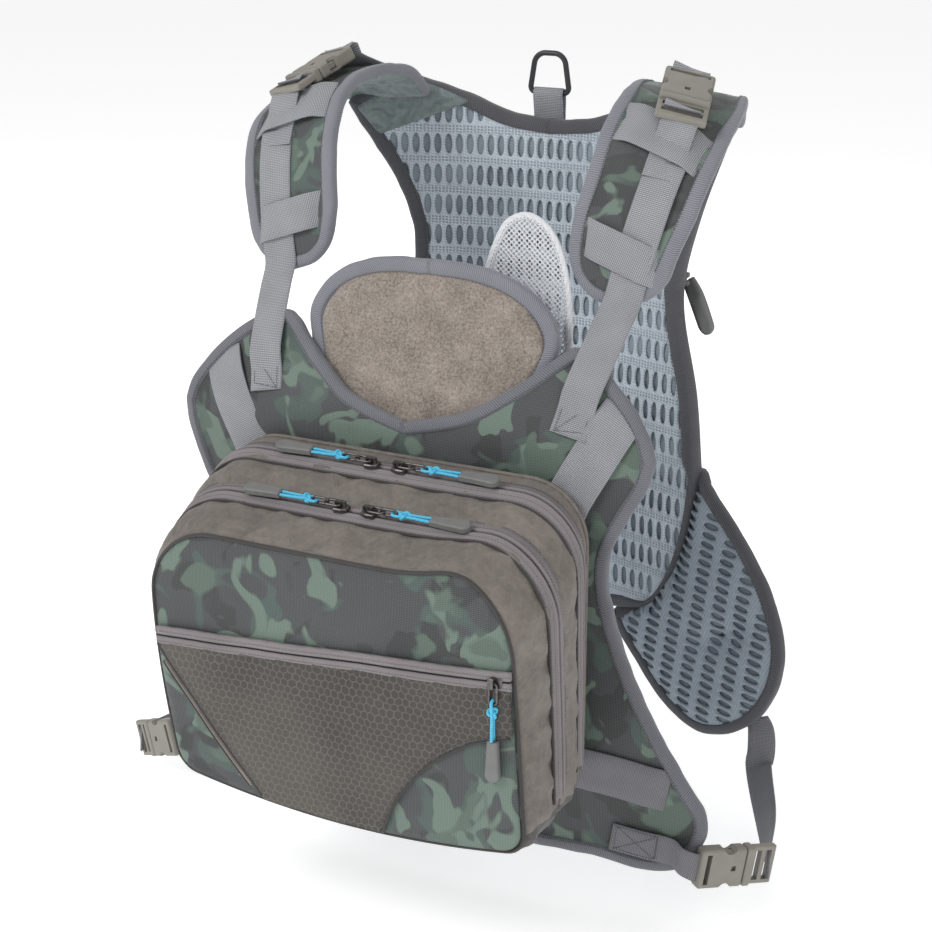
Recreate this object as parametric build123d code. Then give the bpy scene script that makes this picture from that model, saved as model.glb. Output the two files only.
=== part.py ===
"""Fishing vest with a two-compartment chest bag: a worn harness whose front panel carries the bag.

Frame: millimetres, +Z up, +X to the wearer's left, -Y to the front. The origin is the midpoint
between the two shoulders, level with the top of the padded straps that rest on the wearer.
"""

import math
import os

from build123d import *

# ---------------------------------------------------------------- driving dimensions
GAP = 0.3                     # clear space between two sewn layers
WEB = 25.0                    # width of the chest and ring webbing
WAIST_WEB = 20.0
WIDE_WEB = 30.0               # width of the webbing that ties the bag to the panel
WEB_THICK = 1.6

BACK_CENTRE_Y = -182.0        # axis of the back panel's curve
BACK_R = 285.0                # radius of the face against the wearer's back
MESH_THICK, FOAM_THICK, SHELL_THICK, POCKET_THICK = 5.0, 8.0, 2.5, 6.0
BACK_TOP, BACK_BOTTOM = -28.0, -398.0
BACK_POCKET_TOP, BACK_POCKET_HEIGHT, BACK_POCKET_WIDTH = -148.0, 224.0, 190.0
BACK_POCKET_CORNER = 34.0
BACK_ZIP_Z, BACK_ZIP_LENGTH, BACK_ZIP_THICK = -140.0, 206.0, 2.0
BACK_TAB_WIDTH, BACK_TAB_REACH, BACK_TAB_DROP = 11.0, 22.0, 36.0

FRONT_R = 900.0               # radius of the front panel's outer face
FRONT_Y = -116.5              # its foremost point
PANEL_THICK, LINING_THICK = 3.0, 2.5
CREASE_Z = -200.0             # above this level the panel leans back towards the shoulders
LEAN = 0.5

STRAP_SLOPE = -0.35           # how the shoulder straps fall towards the arms
STRAP_MID_X = 140.0
STRAP_FOAM = 8.0
STRAP_REACH = 70.0            # half the width of the band from which the strap is cut
STRAP_SPLIT_Y = -20.0         # front of the shoulder, where the strap turns down
# y and z of the strap's outer face, from the back seam over the shoulder to the tip of the pad
STRAP_PROFILE = ((100, -50), (84, -24), (66, -5), (46, 0), (26, -3), (8, -8), (-8, -14), (-22, -22),
                 (-34, -36), (-45, -60), (-54, -90), (-60, -128))

PATCH_THICK, FELT_THICK = 3.0, 3.0
TONGUE_BEHIND, TONGUE_THICK = 16.0, 1.5

WALL = 2.5                    # bag fabric with its foam
BAG_GAP = 1.0                 # half the gap between two zipped shells
# y, half width, top, bottom and upper corner radius of the bag at its back, its zips and its front
BAG_SECTIONS = (
    (-118.0, 130.0, -222.0, -418.0, 38.0),
    (-141.0, 136.0, -226.0, -419.0, 42.0),
    (-180.0, 136.0, -243.0, -421.0, 46.0),
    (-220.0, 128.0, -254.0, -424.0, 48.0),
)
BAG_FOOT_R = 14.0
BAG_BACK_Y, REAR_ZIP_Y, FRONT_ZIP_Y, BAG_FACE_Y = (row[0] for row in BAG_SECTIONS)
DIVIDER_Y = -170.0
TAPE_WIDTH, TAPE_THICK = 8.5, 1.6
TAPE_FOOT_Z = -405.0          # where both arch zips end
POCKET_ZIP_MID_Z, POCKET_ZIP_RISE = -321.0, math.degrees(math.atan2(20, 244))
POCKET_ZIP_WIDTH, POCKET_PANEL_THICK = 10.0, 2.0
POCKET_MARGIN = 2.0           # from the pocket's edge to the edge of the bag's face

SLIDER_X = 10.0               # each arch-zip slider stands this far from the middle
SLIDER_TILT = 17.0            # slope of the bag's top under the sliders, in degrees
SLIDER_LIFT = 0.8              # of a slider above its tape
POCKET_SLIDER_X = 119.0
SLIDER_BASE, CROWN_HEIGHT, CROWN_WIDTH = 3.0, 4.5, 2.2
WIRE = 0.8                    # radius of the link wire
CORD = 0.9                    # radius of the pull cord
PIVOT_HEIGHT = 4.4            # of a pull's pivot above its slider's underside
CORD_LENGTH, CORD_SPREAD = 26.0, 1.8     # spread: half the distance between its two runs
GRIP_LENGTH, GRIP_NECK, GRIP_WIDTH, GRIP_THICK = 27.0, 6.4, 9.2, 4.0
FLAT_LINK, UPRIGHT_LINK, SINGLE_LINK = 11.0, 10.9, 14.0      # outer lengths of the links
LINK_OVERLAP = 1.9            # how far one link reaches into the next

BUCKLE_THICK, SOCKET_LENGTH, PLUG_BODY = 10.0, 34.0, 24.0
BUCKLE_MARGIN = 8.0           # how much wider a buckle is than its webbing
SOCKET_WALL, SOCKET_BACK = 2.2, 9.5      # skin over the cavity, and the solid end behind it
COLLAR, LADDER_THICK, LADDER_SLOT = 6.0, 5.0, 4.4
PRONG_LENGTH, PRONG_WIDTH, GUIDE_WIDTH = 22.0, 4.0, 5.0
WINDOW_R, SIGHT = 5.2, 3.6    # side windows and square sight hole of a socket
WING_PAD = 9.0
WING_X, WING_Y, WING_SLOPE = 130.0, 73.0, 0.3      # a point of the wing's plane, and its slope in plan
RING_X, RING_BAR_Z, RING_Y, RING_WIRE = -7.0, -18.0, 117.3, 2.0
RING_WIDTH, RING_HEIGHT, RING_TAIL = 31.0, 28.0, 48.0


LOW_END = (Align.CENTER, Align.CENTER, Align.MIN)
HIGH_END = (Align.CENTER, Align.CENTER, Align.MAX)


# ---------------------------------------------------------------- helpers
def mirrored(shape):
    return mirror(shape, about=Plane.YZ)


def both_sides(shape):
    return Compound(children=[shape, mirrored(shape)])


def export(name, shape):
    os.makedirs("parts", exist_ok=True)
    shape.label = name
    export_step(shape, f"parts/{name}.step")


def xz_face(*edges):
    """A face in the XZ plane from edges drawn as (x, z)."""
    return Plane.XZ * make_face(Curve() + list(edges))


def xz_polygon(*points):
    return Plane.XZ * make_face(Polyline(*points, close=True))


def strip(start, end, width):
    """A straight strip of the given width between two (x, z) points."""
    a, b = Vector(*start), Vector(*end)
    side = (b - a).normalized().rotate(Axis.Z, 90) * (width / 2)
    return xz_polygon(*[(p.X, p.Y) for p in (a + side, b + side, b - side, a - side)])


def solid_between(face, low_y, high_y):
    """A face of the XZ plane swept along Y from low_y to high_y."""
    return extrude(Pos(0, low_y, 0) * face, amount=high_y - low_y, dir=(0, 1, 0))


def layer_of_back(face, depth, thickness):
    """The face as a layer of the curved back, depth outside the mesh's inner face."""
    ring = Circle(BACK_R + depth + thickness) - Circle(BACK_R + depth)
    return solid_between(face, 0, 200) & extrude(Pos(0, BACK_CENTRE_Y, -500) * ring, amount=600)


def layer_of_front(face, inset, thickness):
    """The face as a layer of the front panel, its outer side inset behind the panel's outer face."""
    outer = FRONT_R - inset
    ring = Circle(outer) - Circle(outer - thickness)
    arc = Pos(0, FRONT_Y + FRONT_R, CREASE_Z) * ring & Pos(0, -60, CREASE_Z) * Rectangle(520, 180)
    lower = extrude(arc, amount=320, dir=(0, 0, -1))
    upper = extrude(arc, amount=90, dir=(0, LEAN, 1))
    return solid_between(face, -200, 0) & (lower + upper)


def band_face(points, low, high):
    """A strip of the YZ plane between two offsets, to the left of the way the points run."""
    sides = []
    for distance in (low, high):
        side = []
        for i, (y, z) in enumerate(points):
            before, after = points[max(i - 1, 0)], points[min(i + 1, len(points) - 1)]
            run = Vector(after[0] - before[0], after[1] - before[1]).normalized()
            side.append((y - run.Y * distance, z + run.X * distance))
        sides.append(side)
    a, b = sides
    return Plane.YZ * make_face(Curve() + [Spline(*a), Line(a[-1], b[-1]), Spline(*b), Line(b[0], a[0])])


def webbing(start, end, across, width):
    """A flat strap from start to end, its width along across."""
    run = (Vector(*end) - Vector(*start)).normalized()
    across = Vector(*across)
    across = across - run * across.dot(run)
    plane = Plane(origin=start, x_dir=across, z_dir=run)
    return extrude(plane * Rectangle(width, WEB_THICK), amount=(Vector(*end) - Vector(*start)).length)


# ---------------------------------------------------------------- back panel
def back_outline():
    """Neckline, shoulder seams, armholes and lower edge."""
    edges = []
    for sign in (1, -1):
        neck = [(0, BACK_TOP), (sign * 40, -25), (sign * 80, -14), (sign * 104, -8)]
        armhole = [(sign * x, z) for x, z in ((146, -26), (120, -95), (109, -151), (124, -220), (131, -276))]
        foot = [(sign * 88, -388), (sign * 60, BACK_BOTTOM), (0, BACK_BOTTOM)]
        edges += [Spline(*neck), Line(neck[-1], armhole[0]), Spline(*armhole), Line(armhole[-1], foot[0])]
        edges += [Spline(*foot, tangents=((-sign, -0.6), (-sign, 0)))]
    return xz_face(*edges)


def foam_outline():
    """The foam stops short of the sewn edges all round."""
    centre = (0, 0, (BACK_TOP + BACK_BOTTOM) / 2)
    return Pos(*centre) * scale(Pos(*[-c for c in centre]) * back_outline(), by=(0.94, 1, 0.95))


def make_back():
    depth = 0.0
    export("back_mesh", layer_of_back(back_outline(), depth, MESH_THICK))
    depth += MESH_THICK + GAP
    export("back_foam", layer_of_back(foam_outline(), depth, FOAM_THICK))
    depth += FOAM_THICK + GAP
    export("back_shell", layer_of_back(back_outline(), depth, SHELL_THICK))
    depth += SHELL_THICK + GAP
    middle = Pos(0, BACK_POCKET_TOP - BACK_POCKET_HEIGHT / 2)
    pocket = Plane.XZ * middle * RectangleRounded(BACK_POCKET_WIDTH, BACK_POCKET_HEIGHT, BACK_POCKET_CORNER)
    export("back_pocket", layer_of_back(pocket, depth, POCKET_THICK))
    coil = Plane.XZ * Pos(0, BACK_ZIP_Z) * Rectangle(BACK_ZIP_LENGTH, TAPE_WIDTH)
    zip_end = BACK_ZIP_LENGTH / 2
    tab_tip = (zip_end + BACK_TAB_REACH, BACK_ZIP_Z - BACK_TAB_DROP)
    tab = strip((zip_end - 3, BACK_ZIP_Z), tab_tip, BACK_TAB_WIDTH)
    export("back_pocket_zip", layer_of_back(coil + tab, depth, BACK_ZIP_THICK))


# ---------------------------------------------------------------- shoulder straps
def strap_band(points, low, high):
    """A layer swept across the wearer's left shoulder, following the strap's slope."""
    face = band_face(points, low, high)
    start = Pos(STRAP_MID_X - STRAP_REACH, 0, -STRAP_SLOPE * STRAP_REACH)
    return extrude(start * face, amount=2 * STRAP_REACH * math.hypot(1, STRAP_SLOPE), dir=(1, 0, STRAP_SLOPE))


def strap_layer(low, high):
    """A layer of the padded strap, cut to its outline over and in front of the shoulder."""
    band = strap_band(STRAP_PROFILE, low, high)
    rear_plan = make_face(Curve() + [
        Spline((78, 110), (84, 90), (98, 40), (105, STRAP_SPLIT_Y)),
        Line((105, STRAP_SPLIT_Y), (173, STRAP_SPLIT_Y)),
        Spline((173, STRAP_SPLIT_Y), (166, 40), (150, 90), (146, 110)),
        Line((146, 110), (78, 110))])
    rear = band & extrude(Pos(0, 0, -100) * rear_plan, amount=200, dir=(0, 0, 1))
    front_face = xz_face(
        Line((105, 40), (173, 40)), Line((173, 40), (173, -20)),
        Spline((173, -20), (166, -50), (149, -92), (140, -118), (121, -127), (104, -112), (96, -80), (105, -20)),
        Line((105, -20), (105, 40)))
    front = band & solid_between(front_face, -100, STRAP_SPLIT_Y)
    outside_of_back = Circle(BACK_R + 60) - Circle(BACK_R - 0.5)
    return rear + front - extrude(Pos(0, BACK_CENTRE_Y, -200) * outside_of_back, amount=300)


def shoulder_frame():
    """At the buckle's mouth, x across the strap, y down into it and z from the plug to the socket."""
    low_end, high_end = Vector(145, -21, -9), Vector(131, 32, 11)
    axis = (high_end - low_end).normalized()
    across = Vector(1, 0, STRAP_SLOPE)
    across = across - axis * across.dot(axis)
    return Plane(origin=low_end + axis * PLUG_BODY, x_dir=across, z_dir=axis)


def make_shoulders():
    pad = strap_layer(0, STRAP_FOAM)
    export("shoulder_pad_left", pad)
    export("shoulder_pad_right", mirrored(pad))
    export("shoulder_linings", both_sides(strap_layer(STRAP_FOAM + GAP, STRAP_FOAM + GAP + LINING_THICK)))
    keeper_band = strap_band(STRAP_PROFILE, -2 * GAP - 2 * WEB_THICK, -2 * GAP - WEB_THICK)
    upper = solid_between(xz_polygon((110, -14), (168, -34), (162, -64), (106, -44)), -90, -22)
    lower = solid_between(xz_polygon((101, -70), (152, -88), (146, -112), (99, -94)), -90, -22)
    export("strap_keepers", both_sides(keeper_band & (upper + lower)))
    on_pad = strap_band(STRAP_PROFILE, -GAP - WEB_THICK, -GAP) & Pos(140, -60, -73) * Box(100, 100, 82)
    hanging = ((-58, -112), (-59.8, -119), (-70, -136), (-84.4, -156), (-99.2, -184), (-113.9, -211))
    hanging = strap_band(hanging, -GAP - WEB_THICK, -GAP)
    run = strip((143, -32), (110, -200), WEB)
    export("chest_webbing", both_sides((on_pad + hanging) & solid_between(run, -160, 0)))
    frame = shoulder_frame()
    export("shoulder_plugs", both_sides(frame * buckle_plug(WEB)))
    socket = frame * buckle_socket(WEB)
    export("shoulder_socket_left", socket)
    export("shoulder_socket_right", mirrored(socket))
    loop = frame * Pos(0, 0, SOCKET_LENGTH + GAP) * Box(WEB, WEB_THICK, 15, align=LOW_END)
    export("shoulder_loop_left", loop)
    export("shoulder_loop_right", mirrored(loop))


# ---------------------------------------------------------------- side-release buckles
def buckle_socket(web):
    """Hollow half with its mouth at z = 0: round side windows, a slot for its webbing and a sight hole."""
    width = web + BUCKLE_MARGIN
    body = fillet(Box(width, BUCKLE_THICK, SOCKET_LENGTH, align=LOW_END).edges(), 2.2)
    cavity = Box(width - 5, BUCKLE_THICK - 2 * SOCKET_WALL, SOCKET_LENGTH - SOCKET_BACK, align=LOW_END)
    slot = Pos(0, 0, SOCKET_LENGTH - 7) * Box(web + 1.5, BUCKLE_THICK + 2, 3.6, align=LOW_END)
    sight = Pos(0, -BUCKLE_THICK / 2, 9) * Box(SIGHT, 5, SIGHT)
    window = Pos(width / 2 + 1.5, 0, 13) * Rot(90, 0, 0) * Cylinder(WINDOW_R, BUCKLE_THICK + 2)
    return body - cavity - slot - sight - window - mirrored(window)


def buckle_plug(web):
    """Half with two spring prongs and a guide that enter the socket, and a ladder for its webbing."""
    width = web + BUCKLE_MARGIN
    collar = Pos(0, 0, -GAP) * fillet(Box(width, BUCKLE_THICK, COLLAR, align=HIGH_END).edges(), 1.6)
    ladder_length = PLUG_BODY - COLLAR + 1
    ladder = fillet(Box(width, LADDER_THICK, ladder_length, align=HIGH_END).edges(), 1.5)
    ladder = Pos(0, 0, 1 - COLLAR) * ladder
    slots = [Pos(0, 0, z) * Box(web + 1.5, 8, LADDER_SLOT) for z in (-10.5, -18)]
    height = BUCKLE_THICK - 2 * SOCKET_WALL - 0.8
    prong = fillet(Box(PRONG_WIDTH, height, PRONG_LENGTH + 1, align=LOW_END).edges(), 1.0)
    prong = Pos(width / 2 - 4.9, 0, -1) * prong
    guide = Pos(0, 0, -1) * fillet(Box(GUIDE_WIDTH, height, PRONG_LENGTH - 5, align=LOW_END).edges(), 1.0)
    return collar + ladder - slots + prong + mirrored(prong) + guide


# ---------------------------------------------------------------- front panel
def panel_outline():
    edges = []
    for sign in (1, -1):
        def side(*points):
            return [(sign * x, z) for x, z in points]

        neck = side((0, -201), (43, -189), (73, -170), (98, -150), (108, -146))
        shoulder = side((108, -146), (142, -166), (168, -190))
        corner = side((168, -190), (175, -214), (166, -240))
        waist = side((166, -240), (144, -254), (129, -279), (125, -306), (137, -344), (174, -415), (197, -444))
        foot = side((197, -444), (202, -463), (191, -483), (167, -489), (136, -485))
        edges += [Spline(*neck), Spline(*shoulder), Spline(*corner), Spline(*waist), Spline(*foot)]
    edges.append(Line((-136, -485), (136, -485)))
    return xz_face(*edges)


def bib_band(distance, thickness):
    """A flat sheet behind the neckline, parallel to the panel below and upright above."""
    points = [(-102.5, -206), (-75, -151), (-75, -60)]
    line = [(y + distance, z) for y, z in points]
    back = [(y + thickness, z) for y, z in reversed(line)]
    section = Plane.YZ * make_face(Polyline(*line, *back, close=True))
    return extrude(Pos(-120, 0, 0) * section, amount=240, dir=(1, 0, 0))


def patch_outline(inset=0.0):
    return xz_face(
        Spline((-90 + inset, -140), (-79 + inset, -121 - inset / 2), (-45, -106 - inset), (0, -102 - inset),
               (45, -106 - inset), (79 - inset, -121 - inset / 2), (90 - inset, -140)),
        Line((90 - inset, -140), (62 - inset, -200 + inset)),
        Line((62 - inset, -200 + inset), (-62 + inset, -200 + inset)),
        Line((-62 + inset, -200 + inset), (-90 + inset, -140)))


def make_front():
    outline = panel_outline()
    export("front_panel", layer_of_front(outline, 0, PANEL_THICK))
    export("front_lining", layer_of_front(outline, PANEL_THICK + GAP, LINING_THICK))
    export("fly_patch", bib_band(0, PATCH_THICK) & solid_between(patch_outline(), -140, 0))
    felt = bib_band(-FELT_THICK - GAP, FELT_THICK)
    export("fly_patch_felt", felt & solid_between(patch_outline(9), -140, 0))
    tongue = xz_face(
        Spline((24, -190), (30, -104), (42, -78), (59, -69), (77, -80), (88, -112), (94, -190)),
        Line((94, -190), (24, -190)))
    export("mesh_tongue", bib_band(TONGUE_BEHIND, TONGUE_THICK) & solid_between(tongue, -140, 0))
    upper = strip((140, -178), (121, -229), WIDE_WEB)
    lower = strip((112, -423), (190, -430), WIDE_WEB)
    export("bag_straps", both_sides(layer_of_front(upper + lower, -GAP - WEB_THICK, WEB_THICK)))


# ---------------------------------------------------------------- chest bag
def bag_section(y, grow=0.0):
    """The bag's outline at depth y, grown outwards by grow."""
    rows = next(pair for pair in zip(BAG_SECTIONS, BAG_SECTIONS[1:]) if pair[1][0] <= y <= pair[0][0])
    t = (rows[0][0] - y) / (rows[0][0] - rows[1][0])
    half, top, bottom, corner = (a + (b - a) * t for a, b in zip(rows[0][1:], rows[1][1:]))
    half, top, bottom = half + grow, top + grow, bottom - grow
    corners = [(-half, bottom), (half, bottom), (half, top), (-half, top)]
    radii = [BAG_FOOT_R + grow] * 2 + [corner + grow] * 2
    face = Plane.XZ * make_face(FilletPolyline(*corners, radius=radii, close=True))
    return Pos(0, y, 0) * face


def bag_block(back_y, front_y, grow=0.0):
    return loft([bag_section(back_y, grow), bag_section(front_y, grow)], ruled=True)


def zip_tape(back_y, front_y):
    """One half of an arch zip: a band round the outside of a shell, open at the foot."""
    ring = bag_block(back_y, front_y, GAP + TAPE_THICK) - bag_block(back_y, front_y, GAP)
    return ring & Pos(0, REAR_ZIP_Y, TAPE_FOOT_Z) * Box(400, 200, 400, align=LOW_END)


def pocket_line(offset):
    """The half plane of the bag's face below the pocket zip, lowered by offset."""
    line = Pos(0, POCKET_ZIP_MID_Z - offset) * Rot(0, 0, POCKET_ZIP_RISE)
    return Plane.XZ * line * Pos(0, -150) * Rectangle(400, 300)


def make_bag():
    rear_lip, front_lip = REAR_ZIP_Y + BAG_GAP, REAR_ZIP_Y - BAG_GAP
    export("bag_rear_shell", bag_block(BAG_BACK_Y, rear_lip) - bag_block(BAG_BACK_Y - WALL, rear_lip, -WALL))
    export("rear_zip_tape", zip_tape(rear_lip + TAPE_WIDTH, rear_lip))

    middle_front = FRONT_ZIP_Y + BAG_GAP
    middle = bag_block(front_lip, middle_front)
    middle -= bag_block(front_lip, DIVIDER_Y + WALL / 2, -WALL)
    middle -= bag_block(DIVIDER_Y - WALL / 2, middle_front, -WALL)
    export("bag_middle_shell", middle)
    tapes = [zip_tape(front_lip, front_lip - TAPE_WIDTH), zip_tape(middle_front + TAPE_WIDTH, middle_front)]
    export("middle_zip_tapes", Compound(children=tapes))

    front_edge = FRONT_ZIP_Y - BAG_GAP
    export("bag_front_shell", bag_block(front_edge, BAG_FACE_Y) - bag_block(front_edge, BAG_FACE_Y + WALL, -WALL))
    export("front_zip_tape", zip_tape(front_edge, front_edge - TAPE_WIDTH))

    face = Pos(0, -BAG_FACE_Y, 0) * bag_section(BAG_FACE_Y, -POCKET_MARGIN)
    near, far = BAG_FACE_Y - GAP, BAG_FACE_Y - GAP - POCKET_PANEL_THICK
    below = POCKET_ZIP_WIDTH / 2
    export("pocket_panel", solid_between(face & pocket_line(below + GAP), far, near))
    export("pocket_zip", solid_between((face & pocket_line(-below)) - pocket_line(below), far, near))


# ---------------------------------------------------------------- zip sliders and pulls
def slider(turned):
    """Slider with its crown; the pull leaves along x. A turned body lies across the pull."""
    corners = ((-5, -2.6), (-1, -4), (4, -4), (5, -3), (5, 3), (4, 4), (-1, 4), (-5, 2.6))
    body = make_face(Polyline(*corners, close=True))
    body = extrude(Rot(0, 0, 90 if turned else 0) * body, amount=SLIDER_BASE, dir=(0, 0, 1))
    body = chamfer(body.faces().sort_by(Axis.Z)[-1].edges(), 0.6)
    crown = Pos(0, 0, SLIDER_BASE - 0.5) * Box(7.4, CROWN_WIDTH, CROWN_HEIGHT, align=LOW_END)
    crown = fillet(crown.faces().sort_by(Axis.Z)[-1].edges().filter_by(Axis.Y), 1.0)
    eye = Pos(0, 0, SLIDER_BASE) * Box(5, 4, 2.8, align=LOW_END)
    return body + (crown - eye)


def stadium(plane, start, end, half_width, radius):
    """A closed link of round wire in the given plane, its outer ends at start and end along x."""
    path = plane * Wire([
        Line((start + half_width, -half_width), (end - half_width, -half_width)),
        ThreePointArc((end - half_width, -half_width), (end, 0), (end - half_width, half_width)),
        Line((end - half_width, half_width), (start + half_width, half_width)),
        ThreePointArc((start + half_width, half_width), (start, 0), (start + half_width, -half_width))])
    return sweep(Plane(origin=path @ 0, z_dir=path % 0) * Circle(radius), path=path)


def pull(links):
    """Chained links, cord loop and grip of a zip pull along x, with its pivot at the origin."""
    end = SINGLE_LINK if links == 1 else FLAT_LINK
    rings = [stadium(Plane.XY, 0, end, 2.5, WIRE)]
    plane = Plane.XZ
    if links == 2:
        start, end = end - LINK_OVERLAP, end - LINK_OVERLAP + UPRIGHT_LINK
        rings.append(stadium(Plane.XZ, start, end, 2.2, WIRE))
        plane = Plane.XY
    start = end - LINK_OVERLAP
    stop = start + CORD_LENGTH
    path = plane * Wire([
        Line((stop, -CORD_SPREAD), (start + CORD_SPREAD, -CORD_SPREAD)),
        ThreePointArc((start + CORD_SPREAD, -CORD_SPREAD), (start, 0), (start + CORD_SPREAD, CORD_SPREAD)),
        Line((start + CORD_SPREAD, CORD_SPREAD), (stop, CORD_SPREAD))])
    cord = sweep(Plane(origin=path @ 0, z_dir=path % 0) * Circle(CORD), path=path)
    knot = Pos(start + 7, 0, 0) * fillet(Box(6, 6.4, 5.4).edges(), 2.2)
    neck, half = GRIP_NECK / 2, GRIP_WIDTH / 2
    tip = stop + GRIP_LENGTH
    grip = make_face(Curve() + [
        Line((stop, -neck), (stop, neck)), Line((stop, neck), (tip - half, half)),
        ThreePointArc((tip - half, half), (tip, 0), (tip - half, -half)),
        Line((tip - half, -half), (stop, -neck))])
    grip = extrude(Pos(0, 0, -GRIP_THICK / 2) * grip, amount=GRIP_THICK, dir=(0, 0, 1))
    grip = chamfer(grip.edges().group_by(Axis.Z)[-1], 0.8)
    return Compound(children=rings), cord + knot, grip


def make_zip_hardware():
    tilt = math.radians(SLIDER_TILT)
    places = {}
    for zip_name, y in (("rear", REAR_ZIP_Y), ("front", FRONT_ZIP_Y)):
        top = next(row[2] for row in BAG_SECTIONS if row[0] == y) + GAP + TAPE_THICK + SLIDER_LIFT
        for side, sign in (("left", 1), ("right", -1)):
            places[f"{zip_name}_{side}"] = (
                Plane(origin=(sign * SLIDER_X, y, top), x_dir=(sign, 0, 0),
                      z_dir=(0, -math.sin(tilt), math.cos(tilt))), 2)
    pocket_z = POCKET_ZIP_MID_Z + POCKET_SLIDER_X * math.tan(math.radians(POCKET_ZIP_RISE))
    pocket_y = BAG_FACE_Y - GAP - POCKET_PANEL_THICK - SLIDER_LIFT
    pocket_origin = (POCKET_SLIDER_X, pocket_y, pocket_z)
    places["pocket"] = (Plane(origin=pocket_origin, x_dir=(0, 0, -1), z_dir=(0, -1, 0)), 1)
    for name, (plane, links) in places.items():
        export(f"{name}_slider", plane * slider(turned=links == 1))
        for part, shape in zip(("link", "cord", "grip"), pull(links)):
            export(f"{name}_{part}", plane * Pos(0, 0, PIVOT_HEIGHT) * shape)
        pivot = plane.from_local_coords((0, 0, PIVOT_HEIGHT))
        print(name, "pull pivot", [round(v, 3) for v in pivot], "hinge along", plane.y_dir * -1)


# ---------------------------------------------------------------- waist belt
def wing_plane():
    """The left wing's inner face: x along the wing to the front, y up."""
    along = Vector(1, -WING_SLOPE, 0).normalized()
    return Plane(origin=(WING_X, WING_Y, 0), x_dir=along, z_dir=along.cross(Vector(0, 0, 1)))


def wing_outline():
    """The rim from the top of the seam round to its foot, then the seam along the back panel."""
    stretch = math.hypot(1, WING_SLOPE)

    def flat(*points):
        return [((x - WING_X) * stretch, z) for x, z in points]

    rim = flat((133, -279), (172, -316), (200, -350), (213, -389), (206, -430), (180, -463), (148, -474),
               (117, -463), (93, -440), (78, -401))
    seam = flat((78, -401), (90, -389), (133, -279))
    return make_face(Curve() + [Spline(*rim), Line(seam[0], seam[1]), Line(seam[1], seam[2])])


def waist_frames():
    """For each side the socket's mouth, with z from the plug's tail towards the socket's, and y to the front."""
    frames = {}
    for side, tail, end, up in (("left", (243, -57, -489), (205, -102, -479), (0, 0, 1)),
                                ("right", (-254, -82, -502), (-205, -103, -480), (0, 0, -1))):
        axis = (Vector(*end) - Vector(*tail)).normalized()
        across = Vector(*up)
        across = across - axis * across.dot(axis)
        frames[side] = Plane(origin=Vector(*tail) + axis * PLUG_BODY, x_dir=across, z_dir=axis)
    return frames


def make_waist():
    plane = wing_plane()
    outline = plane * wing_outline()
    outward = Vector(WING_SLOPE, 1, 0).normalized()
    lining = extrude(outline, amount=LINING_THICK, dir=outward)
    pad = Pos(*(outward * (LINING_THICK + GAP))) * extrude(outline, amount=WING_PAD, dir=outward)
    export("wing_linings", both_sides(lining))
    export("waist_wing_left", pad)
    export("waist_wing_right", mirrored(pad))
    sockets, tabs = [], []
    for side, frame in waist_frames().items():
        sign = 1 if side == "left" else -1
        sockets.append(frame * buckle_socket(WAIST_WEB))
        tail = frame.from_local_coords((0, 0, SOCKET_LENGTH + 1.5))
        patch = layer_of_front(strip((sign * 150, -469), (sign * 186, -474), WAIST_WEB),
                               -GAP - WEB_THICK, WEB_THICK)
        tabs += [patch, webbing((sign * 188, -100.2, -474), tuple(tail), (0, 0, 1), WAIST_WEB)]
        export(f"waist_plug_{side}", frame * buckle_plug(WAIST_WEB))
        plug_tail = frame.from_local_coords((0, 0, -PLUG_BODY - 5))
        wing_end = (sign * 197, 56, -471)
        export(f"waist_webbing_{side}", webbing(wing_end, tuple(plug_tail), (0, 0, 1), WAIST_WEB))
        print(side, "waist plug slides along", frame.z_dir * -1)
    export("waist_sockets", Compound(children=sockets))
    export("waist_tabs", Compound(children=tabs))


# ---------------------------------------------------------------- net ring at the neck
def make_ring():
    half, low, high = RING_WIDTH / 2, RING_BAR_Z, RING_BAR_Z + RING_HEIGHT
    corners = [(-half, low), (half, low), (half * 0.72, high), (-half * 0.72, high)]
    path = Plane.XZ * FilletPolyline(*corners, radius=[4, 4, 9, 9], close=True)
    path = Pos(RING_X, RING_Y, 0) * path
    export("d_ring", sweep(Plane(origin=path @ 0, z_dir=path % 0) * Circle(RING_WIRE), path=path))
    inner = RING_WIRE + 0.4
    eye = Circle(inner + WEB_THICK) - Circle(inner)
    tail = Pos(inner + WEB_THICK / 2, -RING_TAIL / 2) * Rectangle(WEB_THICK, RING_TAIL)
    section = Plane.YZ * (eye + tail)
    section = Pos(RING_X + 1 - WEB / 2, RING_Y, RING_BAR_Z) * section
    export("d_ring_loop", extrude(section, amount=WEB - 2, dir=(1, 0, 0)))


if __name__ == "__main__":
    make_back()
    make_shoulders()
    make_front()
    make_bag()
    make_zip_hardware()
    make_waist()
    make_ring()
    print("shoulder socket slides along", shoulder_frame().z_dir)
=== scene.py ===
import math

import bmesh
import bpy
import numpy as np
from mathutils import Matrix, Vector
from mathutils.bvhtree import BVHTree
from mathutils.geometry import delaunay_2d_cdt


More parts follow.
